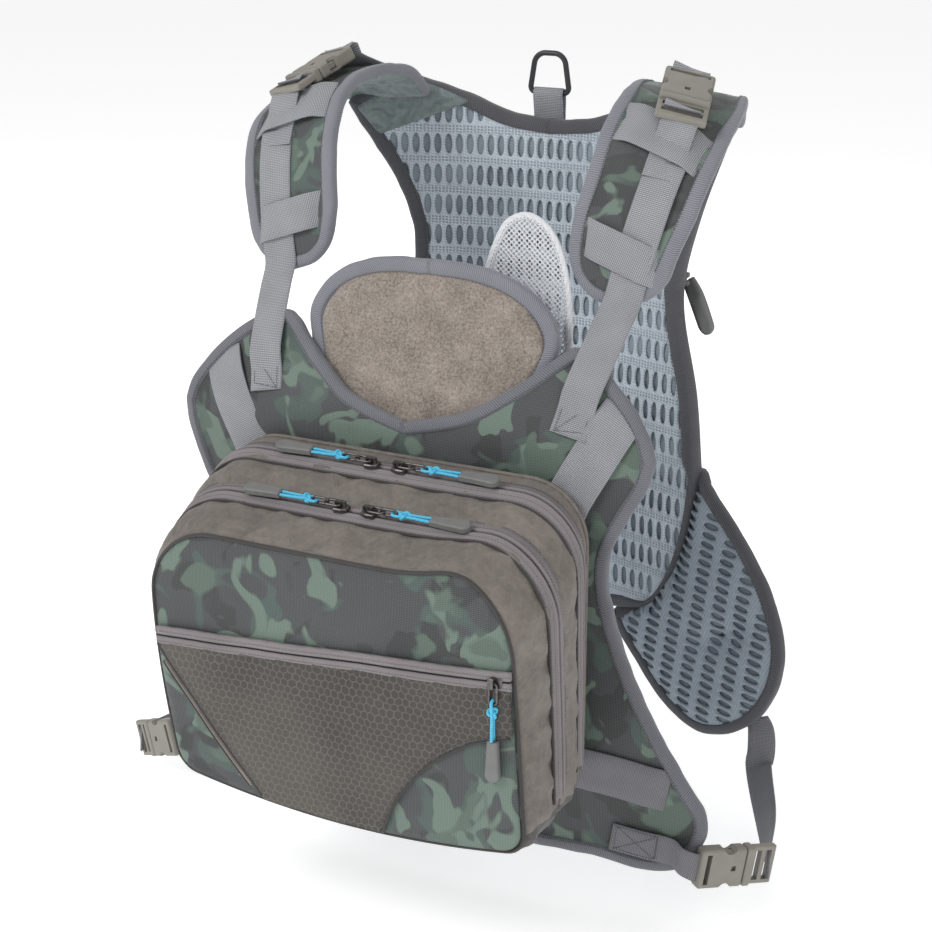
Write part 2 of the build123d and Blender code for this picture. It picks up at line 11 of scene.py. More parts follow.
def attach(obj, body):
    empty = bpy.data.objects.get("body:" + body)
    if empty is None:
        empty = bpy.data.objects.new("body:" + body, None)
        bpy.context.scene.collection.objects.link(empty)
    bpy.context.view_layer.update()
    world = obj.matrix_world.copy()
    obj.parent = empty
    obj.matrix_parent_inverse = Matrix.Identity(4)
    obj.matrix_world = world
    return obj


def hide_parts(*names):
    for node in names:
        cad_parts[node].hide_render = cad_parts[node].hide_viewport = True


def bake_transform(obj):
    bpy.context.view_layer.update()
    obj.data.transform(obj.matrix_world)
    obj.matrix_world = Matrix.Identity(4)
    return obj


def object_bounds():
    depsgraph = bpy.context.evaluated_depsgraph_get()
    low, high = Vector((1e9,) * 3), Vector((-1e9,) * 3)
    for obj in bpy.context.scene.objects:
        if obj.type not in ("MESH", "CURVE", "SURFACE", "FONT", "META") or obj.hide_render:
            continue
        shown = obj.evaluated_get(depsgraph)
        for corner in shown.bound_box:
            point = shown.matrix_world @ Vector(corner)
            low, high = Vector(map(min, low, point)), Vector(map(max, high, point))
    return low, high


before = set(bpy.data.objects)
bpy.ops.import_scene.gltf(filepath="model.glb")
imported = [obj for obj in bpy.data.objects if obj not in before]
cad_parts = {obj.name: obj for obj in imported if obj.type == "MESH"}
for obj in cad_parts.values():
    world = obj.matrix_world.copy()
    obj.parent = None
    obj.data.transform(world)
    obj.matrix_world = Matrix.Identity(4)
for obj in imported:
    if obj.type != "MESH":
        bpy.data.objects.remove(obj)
cad_low, cad_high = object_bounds()

MM = 0.001
UV_UNIT = 100.0                           # millimetres to one unit of a UV map
SIDES = ((1, "left"), (-1, "right"))      # the wearer's left is +X
SMALL = 1e-9


# ================================================================ camera, light and floor
FLOOR_GAP, FLOOR_REACH = 0.012, 40.0
FOCUS = (0, 0, -0.25)
# place, size and power of each area light
LIGHTS = {"key": ((-1.1, -1.9, 1.5), 1.1, 36), "fill": ((1.9, -1.5, 0.5), 1.8, 12),
          "top": ((0.2, 0.6, 2.2), 1.8, 9), "rear": ((-0.6, 2.2, 0.8), 1.6, 9)}


def add(obj):
    bpy.context.scene.collection.objects.link(obj)
    return obj


def aim(obj, spot, towards):
    """Puts a camera or light at a spot, looking along a direction."""
    obj.location = spot
    obj.rotation_mode = "QUATERNION"
    obj.rotation_quaternion = towards.to_track_quat("-Z", "Y")


def camera():
    azimuth, elevation, distance = math.radians(27.04), math.radians(19.1), 1.32445
    target = Vector((-0.0178, 0.0059, -0.270))
    back = Vector((math.sin(azimuth) * math.cos(elevation), -math.cos(azimuth) * math.cos(elevation),
                   math.sin(elevation)))
    data = bpy.data.cameras.new("camera")
    data.lens, data.sensor_width = 71.37, 36
    cam = add(bpy.data.objects.new("camera", data))
    aim(cam, target + back * distance, -back)
    bpy.context.scene.camera = cam


def studio():
    for name, (spot, size, power) in LIGHTS.items():
        data = bpy.data.lights.new(name, "AREA")
        data.size, data.energy = size, power
        aim(add(bpy.data.objects.new(name, data)), spot, Vector(FOCUS) - Vector(spot))
    world = bpy.data.worlds.new("studio")
    world.use_nodes = True
    sky = world.node_tree.nodes["Background"].inputs
    sky[0].default_value = (1, 1, 1, 1)
    sky[1].default_value = 0.5
    bpy.context.scene.world = world
    bpy.context.scene.view_settings.view_transform = "Standard"
    mesh = bpy.data.meshes.new("floor")
    level = cad_low.z - FLOOR_GAP
    corners = ((-1, -1), (1, -1), (1, 1), (-1, 1))
    mesh.from_pydata([(x * FLOOR_REACH, y * FLOOR_REACH, level) for x, y in corners], [], [(0, 1, 2, 3)])
    material = bpy.data.materials.new("floor")
    material.use_nodes = True
    for name, value in (("Base Color", (0.93, 0.93, 0.93, 1)), ("Roughness", 0.9),
                        ("Emission Color", (1, 1, 1, 1)), ("Emission Strength", 0.45)):
        material.node_tree.nodes["Principled BSDF"].inputs[name].default_value = value
    mesh.materials.append(material)
    add(bpy.data.objects.new("floor", mesh))


# ================================================================ materials
def rgb(r, g, b):
    """A colour given as screen values from 0 to 255, as the linear one that a shader takes."""
    return tuple(((c / 255 + 0.055) / 1.055) ** 2.4 for c in (r, g, b)) + (1.0,)


class Field:
    """A value that varies over a surface, built from Math nodes by ordinary arithmetic."""

    def __init__(self, paint, socket):
        self.paint, self.socket = paint, socket

    def do(self, operation, *others):
        node = self.paint.tree.nodes.new("ShaderNodeMath")
        node.operation = operation
        self.paint.tree.links.new(self.socket, node.inputs[0])
        for slot, other in zip(node.inputs[1:], others):
            if isinstance(other, Field):
                self.paint.tree.links.new(other.socket, slot)
            else:
                slot.default_value = other
        return Field(self.paint, node.outputs[0])

    def __add__(self, other):
        return self.do("ADD", other)

    def __sub__(self, other):
        return self.do("SUBTRACT", other)

    def __mul__(self, other):
        return self.do("MULTIPLY", other)

    def __truediv__(self, other):
        return self.do("DIVIDE", other)

    def least(self, other):
        return self.do("MINIMUM", other)

    def most(self, other):
        return self.do("MAXIMUM", other)

    def size(self):
        return self.do("ABSOLUTE")

    def wrap(self, step):
        return self.do("FLOORED_MODULO", step)

    def clip(self):
        return self.most(0.0).least(1.0)

    def ribs(self, pitch):
        """Rounded ribs a pitch apart, 1 on top of each and 0 between them."""
        return (self * (math.pi / pitch)).do("SINE").size()


class Paint:
    """One node material: a Principled shader, its coordinates in millimetres and a few ways to vary it."""

    def __init__(self, name, roughness=0.8, sheen=0.0, metallic=0.0, specular=0.4):
        self.material = bpy.data.materials.new(name)
        self.material.use_nodes = True
        self.tree = self.material.node_tree
        self.inputs = self.tree.nodes["Principled BSDF"].inputs
        self.inputs["Roughness"].default_value = roughness
        self.inputs["Metallic"].default_value = metallic
        self.inputs["Specular IOR Level"].default_value = specular
        if sheen:
            self.inputs["Sheen Weight"].default_value = sheen
            self.inputs["Sheen Roughness"].default_value = 0.5
        self.where = self.tree.nodes.new("ShaderNodeTexCoord")
        self.height = None

    def scaled(self, output, factor):
        node = self.tree.nodes.new("ShaderNodeVectorMath")
        node.operation = "SCALE"
        self.tree.links.new(self.where.outputs[output], node.inputs[0])
        node.inputs["Scale"].default_value = factor
        return node.outputs[0]

    def uv(self):
        """u and v in millimetres."""
        node = self.tree.nodes.new("ShaderNodeSeparateXYZ")
        self.tree.links.new(self.scaled("UV", UV_UNIT), node.inputs[0])
        return Field(self, node.outputs[0]), Field(self, node.outputs[1])

    def noise(self, size, detail=2.0, rough=0.5, twist=0.0, shift=0.0):
        """Noise whose lumps are about size millimetres across."""
        node = self.tree.nodes.new("ShaderNodeTexNoise")
        for name, value in (("Scale", 1.0), ("Detail", detail), ("Roughness", rough), ("Distortion", twist)):
            node.inputs[name].default_value = value
        source = self.scaled("Object", 1 / MM / size)
        if shift:
            move = self.tree.nodes.new("ShaderNodeVectorMath")
            move.inputs[1].default_value = (shift, shift * 0.7, shift * 1.3)
            self.tree.links.new(source, move.inputs[0])
            source = move.outputs[0]
        self.tree.links.new(source, node.inputs["Vector"])
        return Field(self, node.outputs["Fac"])

    def mix(self, amount, low, high):
        """The colour low where amount is 0 and high where it is 1. Either may be a socket."""
        node = self.tree.nodes.new("ShaderNodeMix")
        node.data_type = "RGBA"
        self.tree.links.new(amount.socket, node.inputs[0])
        for slot, colour in ((node.inputs[6], low), (node.inputs[7], high)):
            if isinstance(colour, tuple):
                slot.default_value = colour
            else:
                self.tree.links.new(colour, slot)
        return node.outputs[2]

    def colour(self, amount, low, high):
        self.tree.links.new(self.mix(amount, low, high), self.inputs["Base Color"])

    def roughen(self, field, low, high):
        self.tree.links.new((field * (high - low) + low).socket, self.inputs["Roughness"])

    def bump(self, field, depth, strength=0.6):
        """Adds relief of the given depth in millimetres."""
        node = self.tree.nodes.new("ShaderNodeBump")
        node.inputs["Strength"].default_value = strength
        node.inputs["Distance"].default_value = depth * MM
        self.tree.links.new(field.socket, node.inputs["Height"])
        if self.height is not None:
            self.tree.links.new(self.height, node.inputs["Normal"])
        self.height = node.outputs[0]
        self.tree.links.new(self.height, self.inputs["Normal"])

    def weave(self, pitch):
        """A basket weave: 0 in the gaps between threads and 1 on top of them."""
        u, v = self.uv()
        return u.ribs(pitch) * v.ribs(pitch)

    def honeycomb(self, pitch, wobble):
        """0 inside each cell of an uneven honeycomb and 1 on its lines, for cells pitch apart."""
        u, v = self.uv()
        u = u + (self.noise(13, 1.0) - 0.5) * wobble
        v = v + (self.noise(17, 1.0, shift=5.0) - 0.5) * wobble
        root = math.sqrt(3)
        distances = []
        for shift in (0.0, 0.5):
            a = ((u / pitch + shift).wrap(1.0) - 0.5).size()
            b = ((v / pitch + shift * root).wrap(root) - root / 2).size()
            distances.append(a.most(a * 0.5 + b * (root / 2)))
        return ((distances[0].least(distances[1]) - 0.40) * 14.0).clip()


def webbing_paint(name, light, dark, pitch=1.5):
    """Flat woven strap: fine ribs across it, broken into columns."""
    p = Paint(name, roughness=0.75, sheen=0.15)
    u, v = p.uv()
    thread = (u.ribs(pitch * 0.8) * 0.75 + 0.25) * (v.ribs(pitch) * 0.35 + 0.65)
    wear = p.noise(22, 3.0)
    p.colour((thread * 1.15 - 0.18 + (wear - 0.5) * 0.25).clip(), dark, light)
    p.bump(thread, 0.5, 0.7)
    return p.material


def twill_paint(name, light, dark):
    """Binding tape: fine diagonal ribs."""
    p = Paint(name, roughness=0.8, sheen=0.2)
    u, v = p.uv()
    rib = (u + v * 0.8).ribs(1.5)
    fade = p.noise(35, 3.0)
    p.colour((rib * 0.8 + 0.1 + (fade - 0.5) * 0.4).clip(), dark, light)
    p.bump(rib, 0.35, 0.6)
    return p.material


def camo_paint(name, shift):
    """Printed oxford cloth: soft-edged blotches in five tones over a visible weave."""
    p = Paint(name, roughness=0.55, sheen=0.08, specular=0.45)
    u, v = p.uv()
    blot_a = p.noise(50, 2.0, 0.5, 0.9, shift=3.1 + shift)
    blot_b = p.noise(46, 2.2, 0.5, 1.1, shift=11.7 + shift)
    blot_c = p.noise(38, 2.0, 0.5, 0.8, shift=23.3 + shift)
    edge = lambda field, level: ((field - level) * 42.0).clip()
    ground = p.mix(edge(blot_c, 0.53), rgb(56, 56, 59), rgb(39, 38, 41))
    ground = p.mix(edge(blot_a, 0.545), ground, rgb(62, 78, 73))
    ground = p.mix(edge(blot_b, 0.56), ground, rgb(98, 116, 104))
    ground = p.mix(edge(blot_a * 0.5 + blot_c * 0.5, 0.56), ground, rgb(78, 95, 84))
    thread = u.ribs(1.05) * v.ribs(1.05)
    fade = p.noise(90, 2.0)
    shade = p.mix((thread * 0.5 + (fade - 0.5) * 0.3).clip() * 0.3, ground, rgb(168, 182, 176))
    p.colour((thread * -1.0 + 0.5).clip() * 0.5, shade, rgb(28, 29, 31))
    p.roughen(thread, 0.66, 0.46)
    p.bump(thread, 0.3, 0.45)
    p.bump(p.noise(14, 3.0), 1.1, 0.4)
    return p.material


def hex_paint():
    """Coated pocket cloth with a raised honeycomb."""
    p = Paint("honeycomb_cloth", roughness=0.55, specular=0.5)
    line = p.honeycomb(5.2, 5.0)
    tone = p.noise(150, 3.0)
    weave = p.weave(0.9)
    base = p.mix((tone * 1.8 + weave * 0.3 - 0.55).clip(), rgb(50, 48, 44), rgb(98, 94, 87))
    p.colour(line * 0.4, base, rgb(122, 118, 110))
    p.bump(line, 0.35, 0.6)
    p.bump(weave, 0.15, 0.35)
    p.bump(p.noise(18, 3.0), 0.8, 0.3)
    p.roughen(line, 0.6, 0.42)
    return p.material


def taupe_paint(name, low, high):
    """Crinkled plain-weave bag cloth with a very faint ripstop honeycomb."""
    p = Paint(name, roughness=0.6, sheen=0.12, specular=0.4)
    line = p.honeycomb(6.5, 4.0)
    crinkle = p.noise(8, 5.0, 0.62, 0.6)
    creases = p.noise(26, 3.0, 0.5, 1.2)
    tone = p.noise(80, 3.0)
    weave = p.weave(0.8)
    # Lighter on the crests of the crinkles and darker in their hollows, over a tone that varies at random:
    # partly painted highlight and painted shade, partly the cloth's own uneven tone.
    mixed = p.mix((tone * 1.1 + crinkle * 0.9 - 0.52).clip(), low, high)
    p.colour((line * 0.06 + weave * 0.14).clip(), mixed, rgb(164, 156, 149))
    p.bump(creases, 4.6, 0.6)
    p.bump(crinkle, 1.5, 0.6)
    p.bump(weave, 0.15, 0.3)
    return p.material


def knit_paint(name, light, dark, pitch=None):
    """The face of the spacer mesh: fine paired loops, dimpled between the rows of holes."""
    p = Paint(name, roughness=0.8, sheen=0.25)
    u, v = p.uv()
    loops = u.ribs(1.2) * (v + u * 0.3).ribs(2.2)
    fade = p.noise(50, 3.0)
    tone = (loops * 0.5 + (fade - 0.5) * 0.5 + 0.35).clip()
    if pitch:
        between = ((v / pitch[1]).wrap(1.0) - 0.5).size()
        row = ((between - 0.13) * -30.0).clip()
        dimple = ((u.ribs(pitch[0] / 3) - 0.45) * 3.0).clip() * ((v.ribs(2.1) - 0.4) * 3.0).clip() * row
        # The dimples are darkened as well as sunk: painted shade in the dimples.
        tone = (tone - dimple * 0.75).clip()
        p.bump(dimple * -1.0, 0.5, 0.6)
    p.colour(tone, dark, light)
    p.bump(loops, 0.4, 0.5)
    return p.material


def crinkle_paint():
    """Gathered lining cloth under the straps."""
    p = Paint("gathered_lining", roughness=0.7, sheen=0.2)
    gathers = p.noise(9, 4.0, 0.6, 1.4)
    weave = p.weave(1.0)
    # The colour follows the same gathers that make the relief: painted shade in their folds and painted
    # highlight on their ridges, over a faint weave.
    p.colour((gathers * 1.3 + weave * 0.25 - 0.35).clip(), rgb(78, 90, 90), rgb(146, 160, 157))
    p.bump(gathers, 2.6, 0.7)
    p.bump(weave, 0.2, 0.4)
    return p.material


def felt_paint():
    p = Paint("pile", roughness=0.95, sheen=0.5)
    fine = p.noise(1.6, 5.0, 0.8)
    patch = p.noise(17, 3.0)
    p.colour((fine * 2.5 + patch * 0.7 - 1.15).clip(), rgb(94, 85, 76), rgb(182, 170, 159))
    p.bump(fine, 1.2, 0.8)
    return p.material


def tape_paint(name, low, high):
    """Zip tape: fine ribs along it."""
    p = Paint(name, roughness=0.7, sheen=0.1)
    u, v = p.uv()
    rib, chain = v.ribs(1.0), u.ribs(1.1)
    tone = p.noise(40, 3.0)
    p.colour((rib * 0.35 + chain * 0.2 + tone * 0.6 - 0.05).clip(), low, high)
    p.bump(rib, 0.25, 0.5)
    p.bump(chain, 0.2, 0.4)
    return p.material


def moulded_paint(name, low, high, roughness):
    """Moulded plastic or rubber: slight flow marks and a fine spark finish."""
    p = Paint(name, roughness=roughness, specular=0.5)
    flow = p.noise(11, 3.0, 0.6)
    p.colour(flow, low, high)
    p.bump(p.noise(0.5, 2.0), 0.12, 0.35)
    p.roughen(flow, roughness - 0.07, roughness + 0.1)
    return p.material


def metal_paint():
    p = Paint("gunmetal", roughness=0.35, metallic=0.9)
    rub = p.noise(2.5, 3.0)
    p.colour(rub, rgb(62, 60, 60), rgb(128, 124, 122))
    p.roughen(rub, 0.28, 0.48)
    p.bump(p.noise(0.8, 2.0), 0.08, 0.3)
    return p.material


def cord_paint():
    """Braided elastic cord."""
    p = Paint("braided_cord", roughness=0.55, sheen=0.2)
    braid = p.noise(0.7, 2.0, 0.6)
    p.colour((braid * 1.4 - 0.2).clip(), rgb(32, 138, 178), rgb(96, 212, 244))
    p.bump(braid, 0.25, 0.6)
    return p.material


def thread_paint():
    p = Paint("thread", roughness=0.7, sheen=0.2)
    p.colour(p.noise(1.0, 2.0), rgb(58, 58, 62), rgb(112, 112, 118))
    p.bump(p.noise(0.35, 2.0), 0.1, 0.5)
    return p.material


BACK_PITCH = (7.7, 22.5)      # of the holes in the spacer mesh, across and along

PAINTS = {
    "camo": camo_paint("printed_oxford", 7.0),
    "camo_back": camo_paint("printed_oxford_back", 40.0),
    "webbing": webbing_paint("webbing", rgb(170, 171, 176), rgb(86, 87, 92)),
    "waist": webbing_paint("waist_webbing", rgb(136, 136, 141), rgb(70, 70, 74), 1.3),
    "binding": twill_paint("binding", rgb(140, 141, 149), rgb(84, 85, 91)),
    "dark_binding": twill_paint("dark_binding", rgb(92, 92, 97), rgb(50, 50, 54)),
    "panel_binding": twill_paint("panel_binding", rgb(122, 123, 130), rgb(70, 70, 76)),
    # the wide spread between the bag cloth's two colours also carries painted highlights and painted shade
    "taupe": taupe_paint("bag_cloth", rgb(72, 66, 61), rgb(132, 124, 117)),
    "dark": taupe_paint("foot_cloth", rgb(40, 40, 41), rgb(66, 65, 65)),
    "inside": taupe_paint("inner_cloth", rgb(70, 68, 66), rgb(104, 101, 98)),
    "hex": hex_paint(),
    "tape": tape_paint("zip_tape", rgb(102, 95, 97), rgb(144, 137, 139)),
    "piping": tape_paint("piping", rgb(40, 38, 38), rgb(70, 67, 66)),
    "knit": knit_paint("spacer_knit", rgb(214, 223, 231), rgb(140, 151, 161), BACK_PITCH),
    "knit_floor": knit_paint("spacer_floor", rgb(160, 171, 179), rgb(122, 134, 143)),
    "wing_knit": knit_paint("wing_knit", rgb(164, 175, 185), rgb(114, 125, 135)),
    "wing_floor": knit_paint("wing_floor", rgb(140, 151, 161), rgb(98, 109, 118)),
    "crinkle": crinkle_paint(),
    "felt": felt_paint(),
    "white": knit_paint("white_knit", rgb(228, 229, 232), rgb(172, 173, 178)),
    "buckle": moulded_paint("buckle_plastic", rgb(118, 115, 107), rgb(140, 137, 128), 0.5),
    "rubber": moulded_paint("rubber", rgb(98, 99, 98), rgb(122, 123, 121), 0.6),
    "black": moulded_paint("black_plastic", rgb(30, 31, 34), rgb(48, 49, 53), 0.4),
    "metal": metal_paint(),
    "cord": cord_paint(),
    "thread": thread_paint(),
}


# ================================================================ lines, outlines and surfaces
def unit(vectors):
    """The same directions at length 1."""
    return vectors / np.maximum(np.linalg.norm(vectors, axis=-1, keepdims=True), SMALL)


def run_length(line):
    """How far along a line each of its points lies."""
    return np.concatenate([[0], np.cumsum(np.linalg.norm(np.diff(line, axis=0), axis=1))])


def heading(path, closed):
    """The direction of a line at each of its points."""
    return unit(np.roll(path, -1, 0) - np.roll(path, 1, 0) if closed else np.gradient(path, axis=0))


def spline(points, step):
    """Points about every step along a smooth curve through the given ones."""
    p = np.array(points, float)
    at = lambda i: p[min(max(i, 0), len(p) - 1)]
    out = []
    for i in range(len(p) - 1):
        a, b, c, d = at(i - 1), at(i), at(i + 1), at(i + 2)
        run = np.linalg.norm(c - b)
        leave = (c - a) / max(np.linalg.norm(b - a) + run, SMALL) * run
        reach = (d - b) / max(run + np.linalg.norm(d - c), SMALL) * run
        count = max(1, round(run / step))
        for t in (k / count for k in range(count)):
            out.append((2 * t**3 - 3 * t**2 + 1) * b + (t**3 - 2 * t**2 + t) * leave
                       + (3 * t**2 - 2 * t**3) * c + (t**3 - t**2) * reach)
    return np.array(out + [p[-1]])


def outline(*parts, step=3.0):
    """A closed outline from joined smooth parts."""
    return even(np.vstack([spline(part, step)[:-1] for part in parts]), step)


def polygon(*corners):
    """A closed outline with straight sides."""
    return outline(*([a, b] for a, b in zip(corners, corners[1:] + corners[:1])))


def even(points, step, closed=True):
    """The same line with its points evenly spaced."""
    p = np.vstack([points, points[:1]]) if closed else np.asarray(points, float)
    along = run_length(p)
    count = max(3, int(round(along[-1] / step)))
    at = np.linspace(0, along[-1], count + 1)[: -1 if closed else None]
    return np.stack([np.interp(at, along, p[:, k]) for k in range(p.shape[1])], axis=1)


def turned_left(rim):
    """The outline run anticlockwise."""
    x, y = rim[:, 0], rim[:, 1]
    area = np.sum(x * np.roll(y, -1) - np.roll(x, -1) * y)
    return rim if area > 0 else rim[::-1]


def nearest(points, rim):
    """Distance from each point to a closed outline, and the nearest point on it."""
    d = np.roll(rim, -1, axis=0) - rim
    best, spot = [], []
    for batch in np.array_split(points, len(points) // 2000 + 1):
        q = batch[:, None]
        t = np.clip(((q - rim) * d).sum(2) / np.maximum((d * d).sum(1), SMALL), 0, 1)
        foot = rim + d * t[:, :, None]
        far = np.linalg.norm(q - foot, axis=2)
        k = (np.arange(len(far)), far.argmin(1))
        best.append(far[k])
        spot.append(foot[k])
    return np.concatenate(best), np.concatenate(spot)


def inside(points, rim):
    """Which points lie inside a closed outline."""
    x, y = points[:, :1], points[:, 1:2]
    a, b = rim, np.roll(rim, -1, axis=0)
    crosses = (a[:, 1] > y) != (b[:, 1] > y)
    slope = (b[:, 0] - a[:, 0]) / np.where(np.abs(b[:, 1] - a[:, 1]) < SMALL, SMALL, b[:, 1] - a[:, 1])
    return (crosses & (x < a[:, 0] + slope * (y - a[:, 1]))).sum(1) % 2 == 1


def filled(rim, cell):
    """Points over the inside of an outline, the rim's first, and triangles between them."""
    low, high = rim.min(0), rim.max(0)
    grid = []
    for i, v in enumerate(np.arange(low[1], high[1], cell * 0.87)):
        u = np.arange(low[0] + (i % 2) * cell / 2, high[0], cell)
        grid.append(np.stack([u, np.full(len(u), v)], 1))
    grid = np.vstack(grid)
    grid = grid[inside(grid, rim)]
    grid = grid[nearest(grid, rim)[0] > cell * 0.55]
    points = np.vstack([rim, grid])
    made = delaunay_2d_cdt([Vector(p) for p in points], [], [list(range(len(rim)))], 1, 1e-5)
    return np.array([tuple(v) for v in made[0]]), [tuple(f) for f in made[2]]


def mirror_outline(right):
    """A closed outline from its half at positive u."""
    right = [tuple(p) for p in right]
    return right + [(-u, v) for u, v in reversed(right)]


def mirrored(surface, sign):
    """The same surface on the wearer's other side, for spots whose u has that side's sign."""
    return lambda u, v: surface(u * sign, v) * np.array([sign, 1, 1])


def flip(spots, sign):
    return np.asarray(spots, float) * np.array([sign, 1])


def place(surface, spots, offset=0.0):
    """Points of a surface at (u, v) spots, raised along its normal."""
    u, v = spots[:, 0], spots[:, 1]
    p = surface(u, v)
    normal = unit(np.cross(surface(u + 0.5, v) - p, surface(u, v + 0.5) - p))
    return p + normal * np.broadcast_to(np.asarray(offset, float), u.shape)[:, None]


def ripple(spots, size, seed):
    """Soft random folds between -1 and 1, about size millimetres apart."""
    rng = np.random.default_rng(seed)
    total = np.zeros(len(spots))
    for _ in range(7):
        angle, phase, scale = rng.uniform(0, math.tau), rng.uniform(0, math.tau), rng.uniform(0.6, 1.7)
        direction = np.array([math.cos(angle), math.sin(angle)]) * math.tau / (size * scale)
        bend = 0.8 * np.sin(spots[:, ::-1] @ direction * 0.6 + phase * 2)
        total += np.sin(spots @ direction + phase + bend)
    return total / 4.0


# ================================================================ mesh helpers
MERGE = 0.00002
THREAD_RADIUS = 0.34
ON_TOP = 0.75                 # of a row of stitches over the cloth that it holds
STRAP_THICKNESS = 1.6
SEAM_INSET = 2.9              # of the stitches from a binding's inner edge
FULLNESS = 0.9                # of a binding over the thickness that it holds
OUTER_LIP, INNER_LIP = 1.12, 0.9          # the rounded edge of a mesh hole, as parts of the hole
HOLE_TO_RIM, SMALLEST_SHARE = 2.0, 0.3    # a hole near the rim shrinks to keep clear of it, or is left out


def piece(name, points, faces, paint, body, uv=None, replaces=(), tidy=True):
    """A mesh object in millimetres, painted, riding on its body and standing for CAD nodes."""
    mesh = bpy.data.meshes.new(name)
    mesh.from_pydata((np.asarray(points, float) * MM).tolist(), [], [tuple(f) for f in faces])
    mesh.update()
    if uv is not None:
        layer = mesh.uv_layers.new(name="UVMap")
        index = np.zeros(len(mesh.loops), np.int32)
        mesh.loops.foreach_get("vertex_index", index)
        layer.data.foreach_set("uv", (np.asarray(uv, float)[index] / UV_UNIT).astype(np.float32).ravel())
    if tidy:
        bm = bmesh.new()
        bm.from_mesh(mesh)
        bmesh.ops.remove_doubles(bm, verts=bm.verts, dist=MERGE)
        bmesh.ops.dissolve_degenerate(bm, edges=bm.edges, dist=MERGE / 2)
        bmesh.ops.recalc_face_normals(bm, faces=bm.faces)
        bm.to_mesh(mesh)
        bm.free()
    mesh.materials.append(PAINTS[paint])
    mesh.polygons.foreach_set("use_smooth", [True] * len(mesh.polygons))
    obj = add(bpy.data.objects.new(name, mesh))
    if replaces:
        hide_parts(*replaces)
    if body:
        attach(obj, body)
    return obj


def skin(n, ring, closed=False):
    """The faces round a line of n rings of points, with its two ends filled where it isn't closed."""
    faces = [(i * ring + k, i * ring + (k + 1) % ring, (i + 1) % n * ring + (k + 1) % ring,
              (i + 1) % n * ring + k) for i in range(n if closed else n - 1) for k in range(ring)]
    if not closed:
        faces += [tuple(reversed(range(ring))), tuple((n - 1) * ring + k for k in range(ring))]
    return faces


def edge_loop(faces):
    """The indices round the one open edge of a set of triangles, in order."""
    count = {}
    for f in faces:
        for a, b in zip(f, f[1:] + f[:1]):
            key = (min(a, b), max(a, b))
            count[key] = (a, b) if key not in count else None
    follow = dict(pair for pair in count.values() if pair)
    loop = [next(iter(follow))]
    while follow[loop[-1]] != loop[0]:
        loop.append(follow[loop[-1]])
    return loop


def panel(name, surface, rim, low, high, paint, body, puff=0.0, puff_low=0.0, soft=14.0, cell=4.0,
          folds=0.0, fold_size=40.0, seed=1, replaces=(), simulate=None, dent=None):
    """A closed padded sheet on a surface, from offset low to high, crowned away from its rim."""
    rim = even(turned_left(np.asarray(rim, float)), cell)
    spots, faces = filled(rim, cell)
    depth, _ = nearest(spots, rim)
    crown = 1 - np.exp(-depth / soft)
    wave = folds * ripple(spots, fold_size, seed) * np.clip(depth / 12, 0, 1)
    extra = dent(spots) if dent else 0.0
    top = place(surface, spots, high + puff * crown + wave + extra)
    bottom = place(surface, spots, low - puff_low * crown + wave * 0.6 + extra)
    n = len(spots)
    loop = edge_loop(faces)
    walls = [(a, b, b + n, a + n) for a, b in zip(loop, loop[1:] + loop[:1])]
    back = [tuple(i + n for i in reversed(f)) for f in faces]
    obj = piece(name, np.vstack([top, bottom]), faces + back + walls, paint, None,
                uv=np.vstack([spots, spots]), replaces=replaces)
    if simulate:
        inflate(obj, set(loop) | {i + n for i in loop}, *simulate)
    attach(obj, body)
    return obj


def inflate(obj, pinned, pressure, cap, slack, cap_top=0.4, frames=20):
    """Swells a closed cloth piece by simulation with its pinned points held, then keeps the result.

    The first half of the points are the top face, under mesh or webbing, which moves at most cap_top."""
    rest = np.array([v.co for v in obj.data.vertices], float)
    group = obj.vertex_groups.new(name="pin")
    group.add([i for i in pinned if i < len(rest)], 1.0, "REPLACE")
    cloth = obj.modifiers.new("cloth", "CLOTH")
    cloth.settings.quality = 5
    cloth.settings.mass = 0.3
    cloth.settings.use_pressure = True
    cloth.settings.uniform_pressure_force = pressure
    cloth.settings.shrink_min = -slack
    cloth.settings.effector_weights.gravity = 0.0
    cloth.settings.vertex_group_mass = "pin"
    cloth.collision_settings.use_collision = False
    cloth.point_cache.frame_start, cloth.point_cache.frame_end = 1, frames
    for f in range(1, frames + 1):
        bpy.context.scene.frame_set(f)
    shown = obj.evaluated_get(bpy.context.evaluated_depsgraph_get())
    step = np.array([v.co for v in shown.data.vertices], float) - rest
    limit = np.where(np.arange(len(rest)) < len(rest) // 2, cap_top, cap) * MM
    step *= np.minimum(1.0, limit / np.maximum(np.linalg.norm(step, axis=1), SMALL))[:, None]
    obj.modifiers.remove(cloth)
    obj.vertex_groups.remove(group)
    obj.data.vertices.foreach_set("co", (rest + step).astype(np.float32).ravel())
    obj.data.update()
    bpy.context.scene.frame_set(1)


def stitches(name, line, raised, body, closed=False, pitch=3.6, length=2.5, radius=THREAD_RADIUS,
             paint="thread"):
    """A row of raised stitches along a line; raised is the same line lifted by a millimetre."""
    spots = even(np.hstack([line, raised]), pitch, closed)
    middle, up = spots[:, :3], unit(spots[:, 3:] - spots[:, :3])
    step = np.roll(middle, -1, 0) - middle
    if not closed:
        step[-1] = step[-2]
    t = unit(step)
    side = np.cross(t, up)
    points = np.stack([middle - t * length / 2, middle + side * radius, middle + up * radius,
                       middle - side * radius, middle - up * radius, middle + t * length / 2], 1)
    points = points.reshape(-1, 3)
    faces = []
    for o in range(0, len(points), 6):
        for a, b in ((1, 2), (2, 3), (3, 4), (4, 1)):
            faces += [(o, o + b, o + a), (o + 5, o + a, o + b)]
    return piece(name, points, faces, paint, body, tidy=False)


def seam_row(name, surface, row, height, body, rise=1.0, **looks):
    """Stitches along spots of a surface, at a height over it."""
    return stitches(name, place(surface, row, height), place(surface, row, height + rise), body, **looks)


